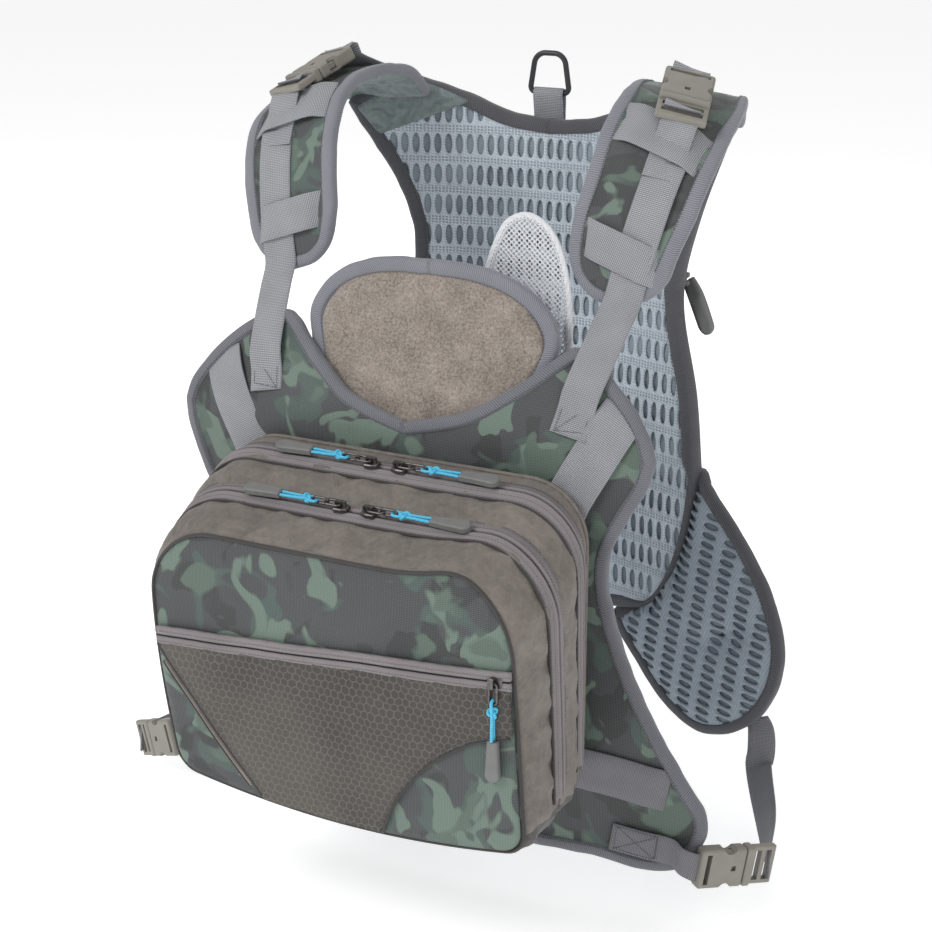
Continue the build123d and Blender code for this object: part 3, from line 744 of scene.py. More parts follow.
def binding(name, surface, rim, low, high, width, paint="binding", wave=0.4):
    """A tape folded over an edge, and the row of stitches that holds it."""
    pitch, ring = 3.0, 14
    path = even(turned_left(np.asarray(rim, float)), pitch)
    step = heading(path, True)
    inward = np.stack([-step[:, 1], step[:, 0]], 1)
    middle, half = (low + high) / 2, (high - low) / 2 + FULLNESS
    width = np.broadcast_to(width(path) if callable(width) else width, len(path))
    waver = wave * ripple(path, 24, 5)
    rings = []
    for k in range(ring):
        c, s = math.cos(math.tau * k / ring), math.sin(math.tau * k / ring)
        reach = width / 2 - 1.4 + width / 2 * math.copysign(abs(c) ** 0.75, c)
        rise = half * math.copysign(abs(s) ** 0.6, s)
        rings.append(place(surface, path + inward * (reach + waver * (1 if c < 0 else 0.3))[:, None],
                           middle + rise * (1 + 0.08 * waver)))
    uv = [(i * pitch, width[i] * 2 * abs(k - ring / 2) / ring) for i in range(len(path)) for k in range(ring)]
    piece(name, np.stack(rings, 1).reshape(-1, 3), skin(len(path), ring, True), paint, "harness", uv=uv)
    seam = path + inward * (width - SEAM_INSET)[:, None]
    seam_row(name + "_stitches", surface, seam, high + ON_TOP, "harness", closed=True)


def webbing(name, line, across, width, body, paint="webbing", replaces=()):
    """A flat strap along a line of points, its width along across (one vector, or one for each point)."""
    line = np.asarray(line, float)
    both = spline(np.hstack([line, np.broadcast_to(np.asarray(across, float), line.shape) * 30]), 2.5)
    path, side = both[:, :3], both[:, 3:]
    t = heading(path, False)
    side = unit(side - t * (side * t).sum(1)[:, None])
    up = np.cross(side, t)
    half, edge = width / 2, STRAP_THICKNESS / 2
    bevel = half - 0.5
    cuts = np.array([(-bevel, -edge), (-half / 2, -edge), (0, -edge), (half / 2, -edge), (bevel, -edge),
                     (half, -edge * 0.4), (half, edge * 0.4), (bevel, edge), (half / 2, edge), (0, edge),
                     (-half / 2, edge), (-bevel, edge), (-half, edge * 0.4), (-half, -edge * 0.4)])
    points = path[:, None] + side[:, None] * cuts[:, :1] + up[:, None] * cuts[:, 1:]
    uv = [(far, cut) for far in run_length(path) for cut in cuts[:, 0]]
    return piece(name, points.reshape(-1, 3), skin(len(path), len(cuts)), paint, body, uv=uv,
                 replaces=replaces)


def tube(name, line, radius, paint, body, closed=False, ring=10):
    """A round rod along a line."""
    path = np.asarray(line, float)
    t = heading(path, closed)
    sides = [np.cross(t[0], (0.31, 0.52, 0.79))]
    for ahead in t:
        sides.append(unit(sides[-1] - ahead * (sides[-1] @ ahead)))
    side = np.array(sides[1:])
    turn = np.arange(ring)[None, :, None] * math.tau / ring
    across = side[:, None] * np.cos(turn) + np.cross(t, side)[:, None] * np.sin(turn)
    points = path[:, None] + across * radius
    uv = [(i * 2.0, k) for i in range(len(path)) for k in range(ring)]
    return piece(name, points.reshape(-1, 3), skin(len(path), ring, closed), paint, body, uv=uv)


def lattice(name, surface, rim, pitch, hole, level, drop, paint, cuts=(4, 6), angle=0.0, replaces=(),
            lift=None):
    """Knit with open ovals in rows and columns pitch apart, each with walls drop deep."""
    (pu, pv), (nx, ny) = pitch, cuts
    edge = [(-pu / 2 + pu * i / nx, -pv / 2) for i in range(nx)]
    edge += [(pu / 2, -pv / 2 + pv * i / ny) for i in range(ny)]
    edge = np.array(edge + [(-u, -v) for u, v in edge])
    turn = np.arctan2(edge[:, 1] / pv, edge[:, 0] / pu)
    oval = np.stack([hole[0] / 2 * np.cos(turn), hole[1] / 2 * np.sin(turn)], 1)
    rings = [edge, oval * OUTER_LIP, oval, oval * INNER_LIP]
    c, s = math.cos(angle), math.sin(angle)
    spin = np.array([[c, s], [-s, c]])
    middle = rim.mean(0)
    reach = np.abs(rim - middle).max() * 1.5
    columns, rows = int(reach / pu) + 1, int(reach / pv) + 1
    centres = np.array([(i * pu, j * pv) for j in range(-rows, rows + 1)
                        for i in range(-columns, columns + 1)])
    room = nearest(centres @ spin + middle, rim)[0] * inside(centres @ spin + middle, rim)
    whole = inside((centres[:, None] + rings[1]).reshape(-1, 2) @ spin + middle, rim)
    whole = whole.reshape(len(centres), -1).all(1)
    share = np.where(whole, 1.0, np.clip((room - HOLE_TO_RIM) / (hole[1] / 2), 0, 0.9))
    share[share < SMALLEST_SHARE] = 0.0
    spots = np.stack([centres[:, None] + ring * (1.0 if k == 0 else share[:, None, None])
                      for k, ring in enumerate(rings)], 1) @ spin + middle
    within = inside(spots.reshape(-1, 2), rim).reshape(spots.shape[:3])
    keep = within[:, 0].any(1)
    flat, within = spots[keep].reshape(-1, 2), within[keep].reshape(-1)
    flat[~within] = nearest(flat[~within], rim)[1]
    sink = np.array([0, 0.1, -0.5, -drop])[None, :, None] * (share[keep] > 0)[:, None, None]
    heights = np.broadcast_to(level + sink, spots[keep].shape[:3]).reshape(-1)
    points = place(surface, flat, heights + (lift(flat) if lift else 0.0))
    m = len(edge)
    starts = [(cell * len(rings) + r) * m for cell in range(keep.sum()) for r in range(len(rings) - 1)]
    faces = [(o + k, o + (k + 1) % m, o + m + (k + 1) % m, o + m + k) for o in starts for k in range(m)]
    return piece(name, points, faces, paint, "harness", uv=(flat - middle) @ spin.T, replaces=replaces)


# ================================================================ surfaces, in millimetres
BACK_CENTRE, BACK_R = -182.0, 285.0
PANEL_R, PANEL_Y, CREASE, LEAN = 900.0, -116.5, -200.0, 0.5
SLOPE, STRAP_X = -0.35, 140.0
STRAP_PROFILE = ((-62, -150), (-60, -128), (-54, -90), (-45, -60), (-34, -36), (-22, -22), (-8, -14), (8, -8),
                 (26, -3), (46, 0), (66, -5), (84, -24), (100, -50))


def back_surface(u, v):
    """The face against the wearer's back; higher offsets lie nearer the wearer."""
    return np.stack([u, BACK_CENTRE + np.sqrt(BACK_R**2 - np.minimum(u * u, BACK_R**2 * 0.98)), v], 1)


def front_surface(u, v):
    lean = 6 * np.logaddexp(0, (v - CREASE) / 6)
    return np.stack([u, PANEL_Y + PANEL_R - np.sqrt(PANEL_R**2 - u * u) + LEAN * lean, v], 1)


strap_line = spline(STRAP_PROFILE, 1.0)
strap_run = run_length(strap_line)


def strap_surface(u, v):
    """v runs from the strap's tip on the chest up over the shoulder to the back."""
    behind = np.interp(v, strap_run, strap_line[:, 0])
    slope = SLOPE * (1 - 0.7 * np.clip((behind - 2) / 44, 0, 1))
    return np.stack([u, behind, np.interp(v, strap_run, strap_line[:, 1]) + slope * (u - STRAP_X)], 1)


def on_strap(x, y=None, z=None):
    """The spot on the strap at x, and either y behind the shoulder's front or z below it."""
    if y is not None:
        return (x, float(np.interp(-y, -strap_line[::-1, 0], strap_run[::-1])))
    rise = z - SLOPE * (x - STRAP_X)
    low = strap_line[:, 0] < -15
    return (x, float(np.interp(rise, strap_line[low, 1], strap_run[low])))


def bib_surface(u, v):
    lower = np.maximum(-102.5 + (v + 206) * 0.5, -103)
    return np.stack([u, -75 - 5 * np.logaddexp(0, -(lower + 75) / 5), v], 1)


def wing_surface(u, v):
    curl = 0.0006 * np.maximum(u - 150, 0) ** 2
    seam = np.interp(v, (-404, -387, -356, -320, -276, -262), (60, 94, 114, 125, 131, 128))
    tucked = np.clip((9 - 0.87 * (u - seam)) / 12, 0, 1)
    return np.stack([u, 73 - 0.3 * (u - 130) - curl + 10 * tucked * tucked * (3 - 2 * tucked), v], 1)


# ================================================================ back panel
# neckline, shoulder, armhole and lower edge of one half of the back
BACK_HALF = (((0, -37), (34, -33), (62, -22), (84, -14), (104, -8)), ((104, -8), (146, -26)),
             ((146, -26), (120, -95), (109, -151), (124, -220), (131, -276)),
             ((131, -276), (125, -320), (114, -356), (94, -387), (60, -398), (0, -398)))
ZIP_LEVEL = -140.0            # of the zip over the pocket on the outside of the back


def build_back():
    half = [(0, -37)]
    for part in BACK_HALF:
        half += list(spline(part, 3))[1:]
    rim = turned_left(even(np.array(mirror_outline(half)), 3.0))
    pulled_in = np.exp(-((rim[:, 1] + 105) / 62) ** 2) * np.clip(-rim[:, 0] / 60, 0, 1)
    rim[:, 0] += 13 * pulled_in - 2 * np.clip(rim[:, 0] / 100, 0, 1)

    def hollow(spots):
        inward = np.clip(nearest(spots, rim[::3])[0] / 30, 0, 1)
        return -1.2 * ripple(spots, 70, 9) * inward - 1.4 * (1 - inward)

    panel("back_mesh_floor", back_surface, rim, -4.5, -2.9, "knit_floor", "harness", folds=0.3)
    lattice("back_mesh_face", back_surface, rim, BACK_PITCH, (5.6, 16.4), 0.2, 1.5, "knit",
            lift=hollow, replaces=("back_mesh",))
    panel("back_padding", back_surface, rim, -10.5, -5.2, "camo_back", "harness", puff_low=8.8,
          soft=20, folds=0.9, fold_size=46, seed=4, replaces=("back_foam", "back_shell"),
          simulate=(3.0, 4.0, 0.015))

    def narrow(path):
        """The tape thins to a crease where the wings are sewn on."""
        beside = np.clip((-265 - path[:, 1]) / 14, 0, 1) * np.clip((np.abs(path[:, 0]) - 70) / 20, 0, 1)
        return 11.0 - 6.5 * beside

    binding("back_binding", back_surface, rim, -10.5, 0.0, narrow, paint="dark_binding")

    for sign, side in SIDES:
        corner = outline([(104, -9), (84, -15), (60, -25)], [(60, -25), (124, -50)], [(124, -50), (139, -30)],
                         [(139, -30), (104, -9)])
        panel(f"back_shoulder_cover_{side}", mirrored(back_surface, sign), flip(corner, sign), -2.0, 1.0,
              "crinkle", "harness", puff=0.8, soft=6, cell=2.5, folds=0.9, fold_size=11,
              seed=71 + sign)

    pocket = polygon((-95, -182), (-61, -148), (61, -148), (95, -182), (95, -338), (61, -372), (-61, -372),
                     (-95, -338))
    panel("back_pocket_face", back_surface, pocket, -24.5, -19.6, "camo", "harness",
          puff_low=1.2, folds=0.8, fold_size=38, seed=8, replaces=("back_pocket",))
    binding("back_pocket_binding", back_surface, pocket, -24.2, -19.8, 7.0, paint="dark_binding")
    for name, low, high in (("upper", ZIP_LEVEL + 0.8, ZIP_LEVEL + 5),
                            ("lower", ZIP_LEVEL - 5, ZIP_LEVEL - 0.8)):
        strip = [(-103, low), (103, low), (103, high), (-103, high)]
        panel(f"back_zip_{name}_tape", back_surface, strip, -20.9, -19.3, "tape", "harness",
              cell=3.0, replaces=("back_pocket_zip",))
    seam_row("back_zip_coil", back_surface, np.array([(x, ZIP_LEVEL) for x in np.linspace(-100, 100, 101)]),
             -21.0, "harness", rise=-1.0, pitch=1.5, length=1.0, radius=1.2, paint="black")
    tab = outline([(97, -144), (104, -138)], [(104, -138), (112, -148), (123, -171)],
                  [(123, -171), (118, -178), (112, -175)], [(112, -175), (97, -144)])
    panel("back_zip_tab", back_surface, tab, -24.0, -21.2, "rubber", "harness", puff_low=0.6,
          cell=2.5, soft=4)


# ================================================================ shoulder straps
def strap_outline():
    right = [on_strap(118, z=-122), on_strap(137, z=-117), on_strap(149, z=-107), on_strap(156, z=-90),
             on_strap(165, z=-60), on_strap(171, z=-32), on_strap(170, y=0), on_strap(167, y=35),
             on_strap(152, y=82)]
    left = [on_strap(86, y=82), on_strap(94, y=40), on_strap(99, y=-8), on_strap(95, z=-38),
            on_strap(90, z=-64), on_strap(88, z=-84), on_strap(91, z=-102), on_strap(102, z=-115),
            on_strap(118, z=-122)]
    return outline(right, [right[-1], left[0]], left)


SOCKET_DEPTH = 24             # from a buckle's plug end to the mouth of its socket


def socket_frame(origin, axis, across):
    """Turns local (x, y, z) of a buckle, its mouth at the origin, into the shared frame."""
    z = unit(np.array(axis, float))
    x = np.array(across, float)
    x = unit(x - z * (x @ z))
    return lambda points: origin + np.asarray(points, float) @ np.stack([x, np.cross(z, x), z])


def shoulder_frame(sign):
    low, high = np.array([145.0 * sign, -21, -9]), np.array([131.0 * sign, 32, 11])
    return socket_frame(low + unit(high - low) * SOCKET_DEPTH, high - low, (1, 0, SLOPE * sign))


# where each keeper starts and ends as (x, z), and its width
KEEPERS = (("upper", ((105, -10), (163, -31)), 30.0), ("lower", ((95, -79), (149, -98)), 24.0))


CHEST_RUN = 33 / 168          # how much farther out the chest webbing lies for each millimetre up
# the chest webbing below the pad, as depths and heights over the strap's slope
HANGING_WEBBING = ((-61.5, -124), (-71.5, -137), (-86, -157), (-99.5, -178))


def build_straps():
    rim = strap_outline()
    for sign, side in SIDES:
        surface = mirrored(strap_surface, sign)
        edge = flip(rim, sign)
        panel(f"strap_pad_{side}", surface, edge, -4.4, -0.8, "camo", "harness", puff=0.5,
              puff_low=3.2, soft=10, folds=0.35, seed=11 + sign, replaces=(f"shoulder_pad_{side}",),
              simulate=(2.5, 2.0, 0.01))
        panel(f"strap_lining_{side}", surface, edge, -7.2, -4.9, "crinkle", "harness",
              puff=-3.2, puff_low=4.4, soft=10, cell=3.0, folds=1.3, fold_size=15, seed=61 + sign,
              replaces=("shoulder_linings",))
        over = on_strap(140, y=0)[1]
        binding(f"strap_binding_{side}", surface, edge, -6.8, -0.2,
                lambda path: 10.0 - 3.0 * np.clip((path[:, 1] - over) / 30, 0, 1))

        run_x = lambda z: 143 + (z + 32) * CHEST_RUN
        on_pad = np.array([on_strap(run_x(z), z=z) for z in (-34, -50, -70, -90, -108)])
        pad_part = place(strap_surface, on_pad, 1.3)
        hanging = []
        for y, level in HANGING_WEBBING:
            z = (level + SLOPE * (run_x(0) - STRAP_X)) / (1 - SLOPE * CHEST_RUN)
            hanging.append((run_x(z), y, z))
        tab_spots = np.array([(run_x(-184), -184), (run_x(-196), -196)])
        line = np.vstack([pad_part, hanging, place(front_surface, tab_spots, 1.6)]) * np.array([sign, 1, 1])
        webbing(f"chest_webbing_{side}", line, (sign, 0, -0.2), 25, "harness", replaces=("chest_webbing",))
        tab = np.array([(run_x(z) + d, z) for z, d in ((-176, -9.5), (-193, -9.5), (-193, 9.5), (-176, 9.5),
                                                       (-193, -9.5))])
        seam = even(tab, 2.0, False)
        stitches(f"chest_tab_stitches_{side}", place(front_surface, seam, 2.7) * (sign, 1, 1),
                 place(front_surface, seam, 3.7) * (sign, 1, 1), "harness", pitch=2.8, length=2.0)
        for which, (start, end), width in KEEPERS:
            along = np.array([0.0, 0.07, 0.2, 0.5, 0.8, 0.93, 1.0])
            lifts = np.array([-3.0, -0.8, 2.6, 3.4, 3.0, -0.8, -3.0])
            xs = start[0] + (end[0] - start[0]) * along
            zs = start[1] + (end[1] - start[1]) * along
            spots = np.array([on_strap(x, z=z) for x, z in zip(xs, zs)])
            line = place(strap_surface, spots, lifts)
            down = place(strap_surface, spots - (0, 1), 3.0) - place(strap_surface, spots, 3.0)
            webbing(f"strap_keeper_{which}_{side}", line * (sign, 1, 1), down * (sign, 1, 1), width,
                    "harness", replaces=("strap_keepers",))

        at = shoulder_frame(sign)
        under = np.array([on_strap(140, z=-44), on_strap(141.5, z=-30)])
        rise = place(strap_surface, under, 1.6) * (sign, 1, 1)
        wrap = at([(0, 1.5, -22), (0, 4.4, -16.5), (0, 3.6, -12.2), (0, 0, -11.2), (0, -3.4, -12.8),
                   (0, -3.8, -17)])
        webbing(f"shoulder_plug_webbing_{side}", np.vstack([rise, wrap]), (sign, 0, SLOPE), 24, "harness")
        top = at([(0, -0.6, 27), (0, -2.2, 32), (0, -4.0, 36), (0, -1.5, 40), (0, 4.0, 39)])
        far = place(strap_surface, np.array([on_strap(127, y=56), on_strap(125, y=66)]), 1.4) * (sign, 1, 1)
        loop = webbing(f"shoulder_loop_webbing_{side}", np.vstack([top, far]), (sign, 0, SLOPE), 25, None,
                       replaces=(f"shoulder_loop_{side}",))
        tuple(far[-1] * MM)
        tuple(top[1] * MM)
        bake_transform(loop)


# ================================================================ front panel, bib and tongue
UPPER_STRAPS = {1: ((144, -178), (130, -205), (114, -235), (108, -250)),
                -1: ((155, -178), (140, -203), (122, -234), (114, -250))}
LOWER_STRAP = ((112, -421), (150, -425), (183, -431))
NECKLINE = [(0, -201), (43, -189), (73, -170), (98, -150), (106, -145)]
PANEL_SIDES = {
    1: ([(106, -145), (124, -156), (144, -173), (159, -190), (166, -207)],
        [(166, -207), (161, -225), (151, -244), (142, -263), (138, -282), (143, -313), (157, -354),
         (176, -394), (197, -430)],
        [(197, -430), (207, -448), (206, -465), (193, -485), (168, -490), (136, -485)]),
    -1: ([(106, -145), (134, -155), (158, -174), (177, -198), (183, -213)],
         [(183, -213), (180, -232), (168, -260), (150, -290), (146, -340), (176, -412), (198, -440)],
         [(198, -440), (205, -460), (193, -483), (168, -489), (136, -485)]),
}


def panel_outline():
    """The rim as the vest hangs: one shoulder of the panel is pushed in and the other spread."""
    halves = []
    for sign in (1, -1):
        half = []
        for part in (NECKLINE,) + PANEL_SIDES[sign]:
            half += list(spline(part, 3))[:-1]
        halves.append([(u * sign, v) for u, v in half + [(136, -485)]])
    return turned_left(even(np.array(halves[0] + halves[1][::-1]), 3.0))


def bib_outline(half):
    whole = mirror_outline(half)
    n = len(half)
    return turned_left(outline(whole[:n], whole[n - 1:n + 1], whole[n:]))


def build_front():
    rim = panel_outline()
    panel("front_panel_cloth", front_surface, rim, -3.0, 0.0, "camo", "harness", puff=0.5,
          folds=0.9, fold_size=50, seed=21, replaces=("front_panel",))
    panel("front_lining_cloth", front_surface, rim, -5.8, -3.4, "knit_floor", "harness",
          folds=0.3, replaces=("front_lining",))
    binding("front_panel_binding", front_surface, rim, -5.2, 1.2, 9.0, paint="panel_binding")

    patch = bib_outline([(0, -102), (28, -103), (53, -108), (71, -117), (84, -130), (90, -143), (89, -156),
                         (80, -180), (62, -218)])
    panel("fly_patch_board", bib_surface, patch, -3.0, 0.0, "dark_binding", "harness",
          replaces=("fly_patch",))
    felt_rim = bib_outline([(0, -109), (26, -110), (49, -115), (65, -123), (76, -135), (81, -146), (80, -157),
                            (71, -180), (55, -210)])
    panel("fly_patch_pile", bib_surface, felt_rim, 0.3, 3.3, "felt", "harness", puff=0.8,
          folds=0.3, fold_size=20, cell=3.0, replaces=("fly_patch_felt",))
    binding("fly_patch_binding", bib_surface, patch, -3.0, 3.4, 11.0)

    tongue = turned_left(outline(
        [(24, -190), (28, -120), (42, -78), (59, -69), (77, -80), (88, -112), (94, -190)],
        [(94, -190), (24, -190)], step=1.5))
    behind = lambda u, v: bib_surface(u, v) + (0, 16.5, 0)
    lattice("mesh_tongue_net", behind, tongue, (2.6, 2.6), (2.1, 2.1), 0.3, 0.5, "white",
            cuts=(2, 2), angle=math.pi / 4, replaces=("mesh_tongue",))
    binding("mesh_tongue_hem", behind, tongue, -0.5, 0.5, 5.0, paint="white", wave=0.1)

    for sign, side in SIDES:
        surface = mirrored(front_surface, sign)
        for which, ends, paint in (("upper", UPPER_STRAPS[sign], "webbing"), ("lower", LOWER_STRAP, "waist")):
            spots = spline(np.array(ends, float) * (sign, 1), 12)
            run = np.array(ends[-1], float) - np.array(ends[0], float)
            lift = np.full(len(spots), 1.7)
            lift[0 if which == "upper" else -1] = -0.4
            webbing(f"bag_strap_{which}_{side}", place(surface, spots, lift), (-run[1] * sign, 0, run[0]), 30,
                    "harness", paint=paint, replaces=("bag_straps",))


# ================================================================ chest bag
# y, half width, top, bottom and upper corner radius of the bag at its back, its zips and its front
BAG_SECTIONS = ((-118.0, 130.0, -222.0, -418.0, 38.0), (-141.0, 136.0, -226.0, -419.0, 42.0),
                (-180.0, 136.0, -243.0, -421.0, 46.0), (-220.0, 128.0, -254.0, -424.0, 48.0),
                (-226.0, 127.0, -256.0, -424.5, 48.0))
FOOT_R = 14.0
BAG_BACK, BAG_DEPTH, BAG_FOOT = -118, 100, -424
BACK_BELLY, FRONT_BELLY = 5, 14           # how far the middle of the foot hangs at the bag's back and front
LIFTED_CORNER, CORNER_LIFT = 101, 8       # x of the upper front corner that is lifted, and how far
SIDE_SWELL, FOOT_SWING = 0.028, 12        # how much the sides swell and how far the foot swings, in front
# points along half the foot, a lower corner, a side, an upper corner and the top
BAG_STEPS = (30, 6, 28, 16, 50)
FOOT_CLOTH_TOP = -409.0             # the dark cloth under the bag reaches up to here
BAG_CENTRE = (0, -330.0)
TAPE_FOOT = -405.0
FINE_THREAD = 0.28


def bag_ring(y, grow=0.0):
    """Points round the bag at depth y, from the middle of its foot towards +X and over the top."""
    table = np.array(sorted(BAG_SECTIONS))
    half, top, bottom, corner = (np.interp(y, table[:, 0], table[:, k]) for k in range(1, 5))
    half, top, bottom = half + grow, top + grow, bottom - grow
    foot, corner = max(FOOT_R + grow, 1.0), max(corner + grow, 1.0)

    def run(start, end, n):
        t = np.arange(n)[:, None] / n
        return np.array(start) + (np.array(end) - start) * t

    def arc(x, z, radius, start, n):
        turn = np.radians(start + 90 * np.arange(n) / n)
        return np.stack([x + radius * np.cos(turn), z + radius * np.sin(turn)], 1)

    middle, low, side, high, over = BAG_STEPS
    return np.vstack([
        run((0, bottom), (half - foot, bottom), middle),
        arc(half - foot, bottom + foot, foot, -90, low),
        run((half, bottom + foot), (half, top - corner), side),
        arc(half - corner, top - corner, corner, 0, high),
        run((half - corner, top), (corner - half, top), over),
        arc(corner - half, top - corner, corner, 90, high),
        run((-half, top - corner), (-half, bottom + foot), side),
        arc(foot - half, bottom + foot, foot, 180, low),
        run((foot - half, bottom), (0, bottom), middle)])


def at_depth(ring, y):
    """Points of an (x, z) ring put at depth y."""
    return np.stack([ring[:, 0], np.full(len(ring), y), ring[:, 1]], 1)


def sag(points):
    """How a half-full bag hangs: its foot bellies down and swings aside, and one upper corner is lifted."""
    p = np.array(points, float)
    x, z = p[:, 0].copy(), p[:, 2].copy()
    depth = np.clip((BAG_BACK - p[:, 1]) / BAG_DEPTH, 0, 1)
    low = np.clip((-330 - z) / 90, 0, 1) ** 2
    middle = np.clip(1 - ((x + 2) / 135) ** 2, 0, 1)
    p[:, 2] -= low * middle * (BACK_BELLY + (FRONT_BELLY - BACK_BELLY) * depth)
    lifted = np.exp(-((x - LIFTED_CORNER) / 32) ** 2) * np.clip((z + 310) / 50, 0, 1)
    p[:, 2] += CORNER_LIFT * lifted * depth**2
    side = np.sin(np.clip((z - BAG_FOOT) / 180, 0, 1) * math.pi)
    p[:, 0] *= 1 + SIDE_SWELL * side * depth
    p[:, 0] += FOOT_SWING * np.clip((-290 - z) / 130, 0, 1) ** 1.5 * depth**1.2
    return p


def bag_band(name, rows, body, folds=0.7, seed=1, replaces=()):
    """A band of cloth round the bag through rows of (y, growth), doubled inwards to its thickness."""
    rows = spline(rows, 3.2)
    first = bag_ring(*rows[0])
    n, m = len(first), len(rows)
    depth = run_length(rows)
    spot = np.array([(far, deep) for deep in depth for far in run_length(first)])
    fade = np.minimum(spot[:, 1], depth[-1] - spot[:, 1])
    wave = (folds * ripple(spot * (1, 1.6), 30, seed) * np.clip(fade / 8, 0, 1)).reshape(m, n, 1)
    points = []
    for shift in (0.0, -STRAP_THICKNESS):
        for (y, grow), push in zip(rows, wave):
            ring = bag_ring(y, grow + shift)
            points.append(at_depth(ring + unit(ring - BAG_CENTRE) * push, y))
    half = n * m
    faces = []
    for k in range(n):
        follow = (k + 1) % n
        for o in range(0, half - n, n):
            a, b = o + k, o + follow
            faces += [(a, b, b + n, a + n), (a + half, a + n + half, b + n + half, b + half)]
        last = half - n
        faces += [(follow, k, k + half, follow + half),
                  (last + k, last + follow, last + follow + half, last + k + half)]
    obj = piece(name, sag(np.vstack(points)), faces, "taupe", body, uv=np.vstack([spot, spot]),
                replaces=replaces)
    obj.data.materials.append(PAINTS["dark"])
    for f in obj.data.polygons:
        if f.center.z < FOOT_CLOTH_TOP * MM:
            f.material_index = 1


def arch(y, grow):
    """The part of the ring at depth y above the zips' foot."""
    ring = bag_ring(y, grow)
    ring = ring[ring[:, 1] > TAPE_FOOT]
    start = np.argmax(ring[:, 0] - (ring[:, 1] - TAPE_FOOT) * 10)
    return sag(at_depth(np.roll(ring, -start, axis=0), y))


def zip_half(name, lip, way, body, replaces):
    """Tape, raised lip and seam of one half of an arch zip; way is +1 behind the zip and -1 before it."""
    far = lip + way * 8.5
    edges = ((lip, 0.2), (lip, 2.4), (lip + way * 1.6, 2.6), (lip + way * 2.4, 1.7), (far, 1.6), (far, 0.1))
    lines = [even(arch(y, grow), 3.0, False) for y, grow in edges]
    n = min(len(line) for line in lines)
    points = np.stack([line[np.linspace(0, len(line) - 1, n).round().astype(int)] for line in lines], 1)
    uv = [(i * 3.0, y) for i in range(n) for y, _ in edges]
    piece(name, points.reshape(-1, 3), skin(n, len(edges)), "tape", body, uv=uv,
          replaces=replaces)
    for offset in (3.4, 7.4):
        y = lip + way * offset
        stitches(f"{name}_stitches_{int(offset)}", arch(y, 1.7), arch(y, 2.7), body, pitch=3.0, length=2.0,
                 radius=FINE_THREAD)


def build_bag():
    upright = lambda y: lambda u, v: np.stack([u, np.full(len(u), y), v], 1)
    bag_band("bag_rear_rim", [(-118, -1.5), (-122, 0.4), (-130, 1.0), (-140, 0.0)], "harness", seed=31,
             replaces=("bag_rear_shell",))
    panel("bag_back_wall", upright(-118.5), bag_ring(-119, -1.0), -0.6, 1.2, "inside", "harness",
          folds=0.4)
    seam = sag(at_depth(bag_ring(-119.5, 0.2), -119.5))
    tube("bag_rear_piping", even(seam, 3.0), 1.5, "taupe", "harness", closed=True)

    bag_band("bag_middle_band", [(-142, 0.0), (-150, 1.6), (-161, 2.6), (-172, 1.6), (-179, 0.0)],
             "bag_middle", seed=33, folds=1.7, replaces=("bag_middle_shell",))
    panel("bag_divider", upright(-170.0), bag_ring(-170, -2.6), -1.2, 1.2, "inside", "bag_middle",
          folds=1.0, cell=5)

    bag_band("bag_front_rim", [(-181, 0.0), (-190, 1.2), (-204, 1.8), (-215, 0.6), (-220, -1.5)], "bag_front",
             seed=35, folds=1.8)
    for name, lip, way, body, node in (("rear_zip_rear_half", -140.0, 1, "harness", "rear_zip_tape"),
                                       ("rear_zip_front_half", -142.0, -1, "bag_middle", "middle_zip_tapes"),
                                       ("front_zip_rear_half", -179.0, 1, "bag_middle", "middle_zip_tapes"),
                                       ("front_zip_front_half", -181.0, -1, "bag_front", "front_zip_tape")):
        zip_half(name, lip, way, body, (node,))
    for name, y, body in (("rear_zip_welt", -151.5, "bag_middle"), ("front_zip_welt", -190.5, "bag_front")):
        tube(name, even(arch(y, 1.9), 3.0, False), 0.9, "piping", body)

    face_ring = bag_ring(-220, -2.2)
    flat_face = lambda u, v: sag(upright(-220.0)(u, v))
    face = panel("bag_front_face", flat_face, face_ring, -1.5, 0.6, "camo", "bag_front",
                 puff=2.2, soft=26, folds=0.7, fold_size=60, seed=41, replaces=("bag_front_shell",),
                 simulate=(1.5, 0.6, 0.012))
    panel("bag_front_lining", flat_face, bag_ring(-217, -1.2), -3.4, -1.9, "inside", "bag_front",
          folds=0.4)
    edge = sag(at_depth(face_ring, -220.8))
    tube("bag_front_piping", even(edge, 3.0), 1.2, "piping", "bag_front", closed=True)

    tree = BVHTree.FromPolygons([v.co / MM for v in face.data.vertices],
                                [tuple(f.vertices) for f in face.data.polygons])

    def face_surface(u, v):
        """The bag's front face as it hangs."""
        ahead = np.full(len(u), -221.0)
        for i, (x, z) in enumerate(zip(u, v)):
            hit = tree.ray_cast(Vector((x, -300.0, z)), Vector((0, 1, 0)))[0]
            if hit is not None:
                ahead[i] = min(hit.y, -221.0)
        return np.stack([u, ahead, v], 1)

    build_pocket(face_surface, face_ring)


def below_line(rim, start, end):
    """The part of an outline on the right of the line from start to end."""
    a, b = np.array(start, float), np.array(end, float)
    normal = np.array([b[1] - a[1], a[0] - b[0]])
    out = []
    n = len(rim)
    for i in range(n):
        p, q = rim[i], rim[(i + 1) % n]
        sp, sq = (p - a) @ normal, (q - a) @ normal
        if sp >= 0:
            out.append(p)
        if (sp >= 0) != (sq >= 0):
            out.append(p + (q - p) * sp / (sp - sq))
    return np.array(out)


def pocket_zip_level(x):
    """The height of the slanted pocket zip at x."""
    return -321 + x * math.tan(math.radians(4.69))


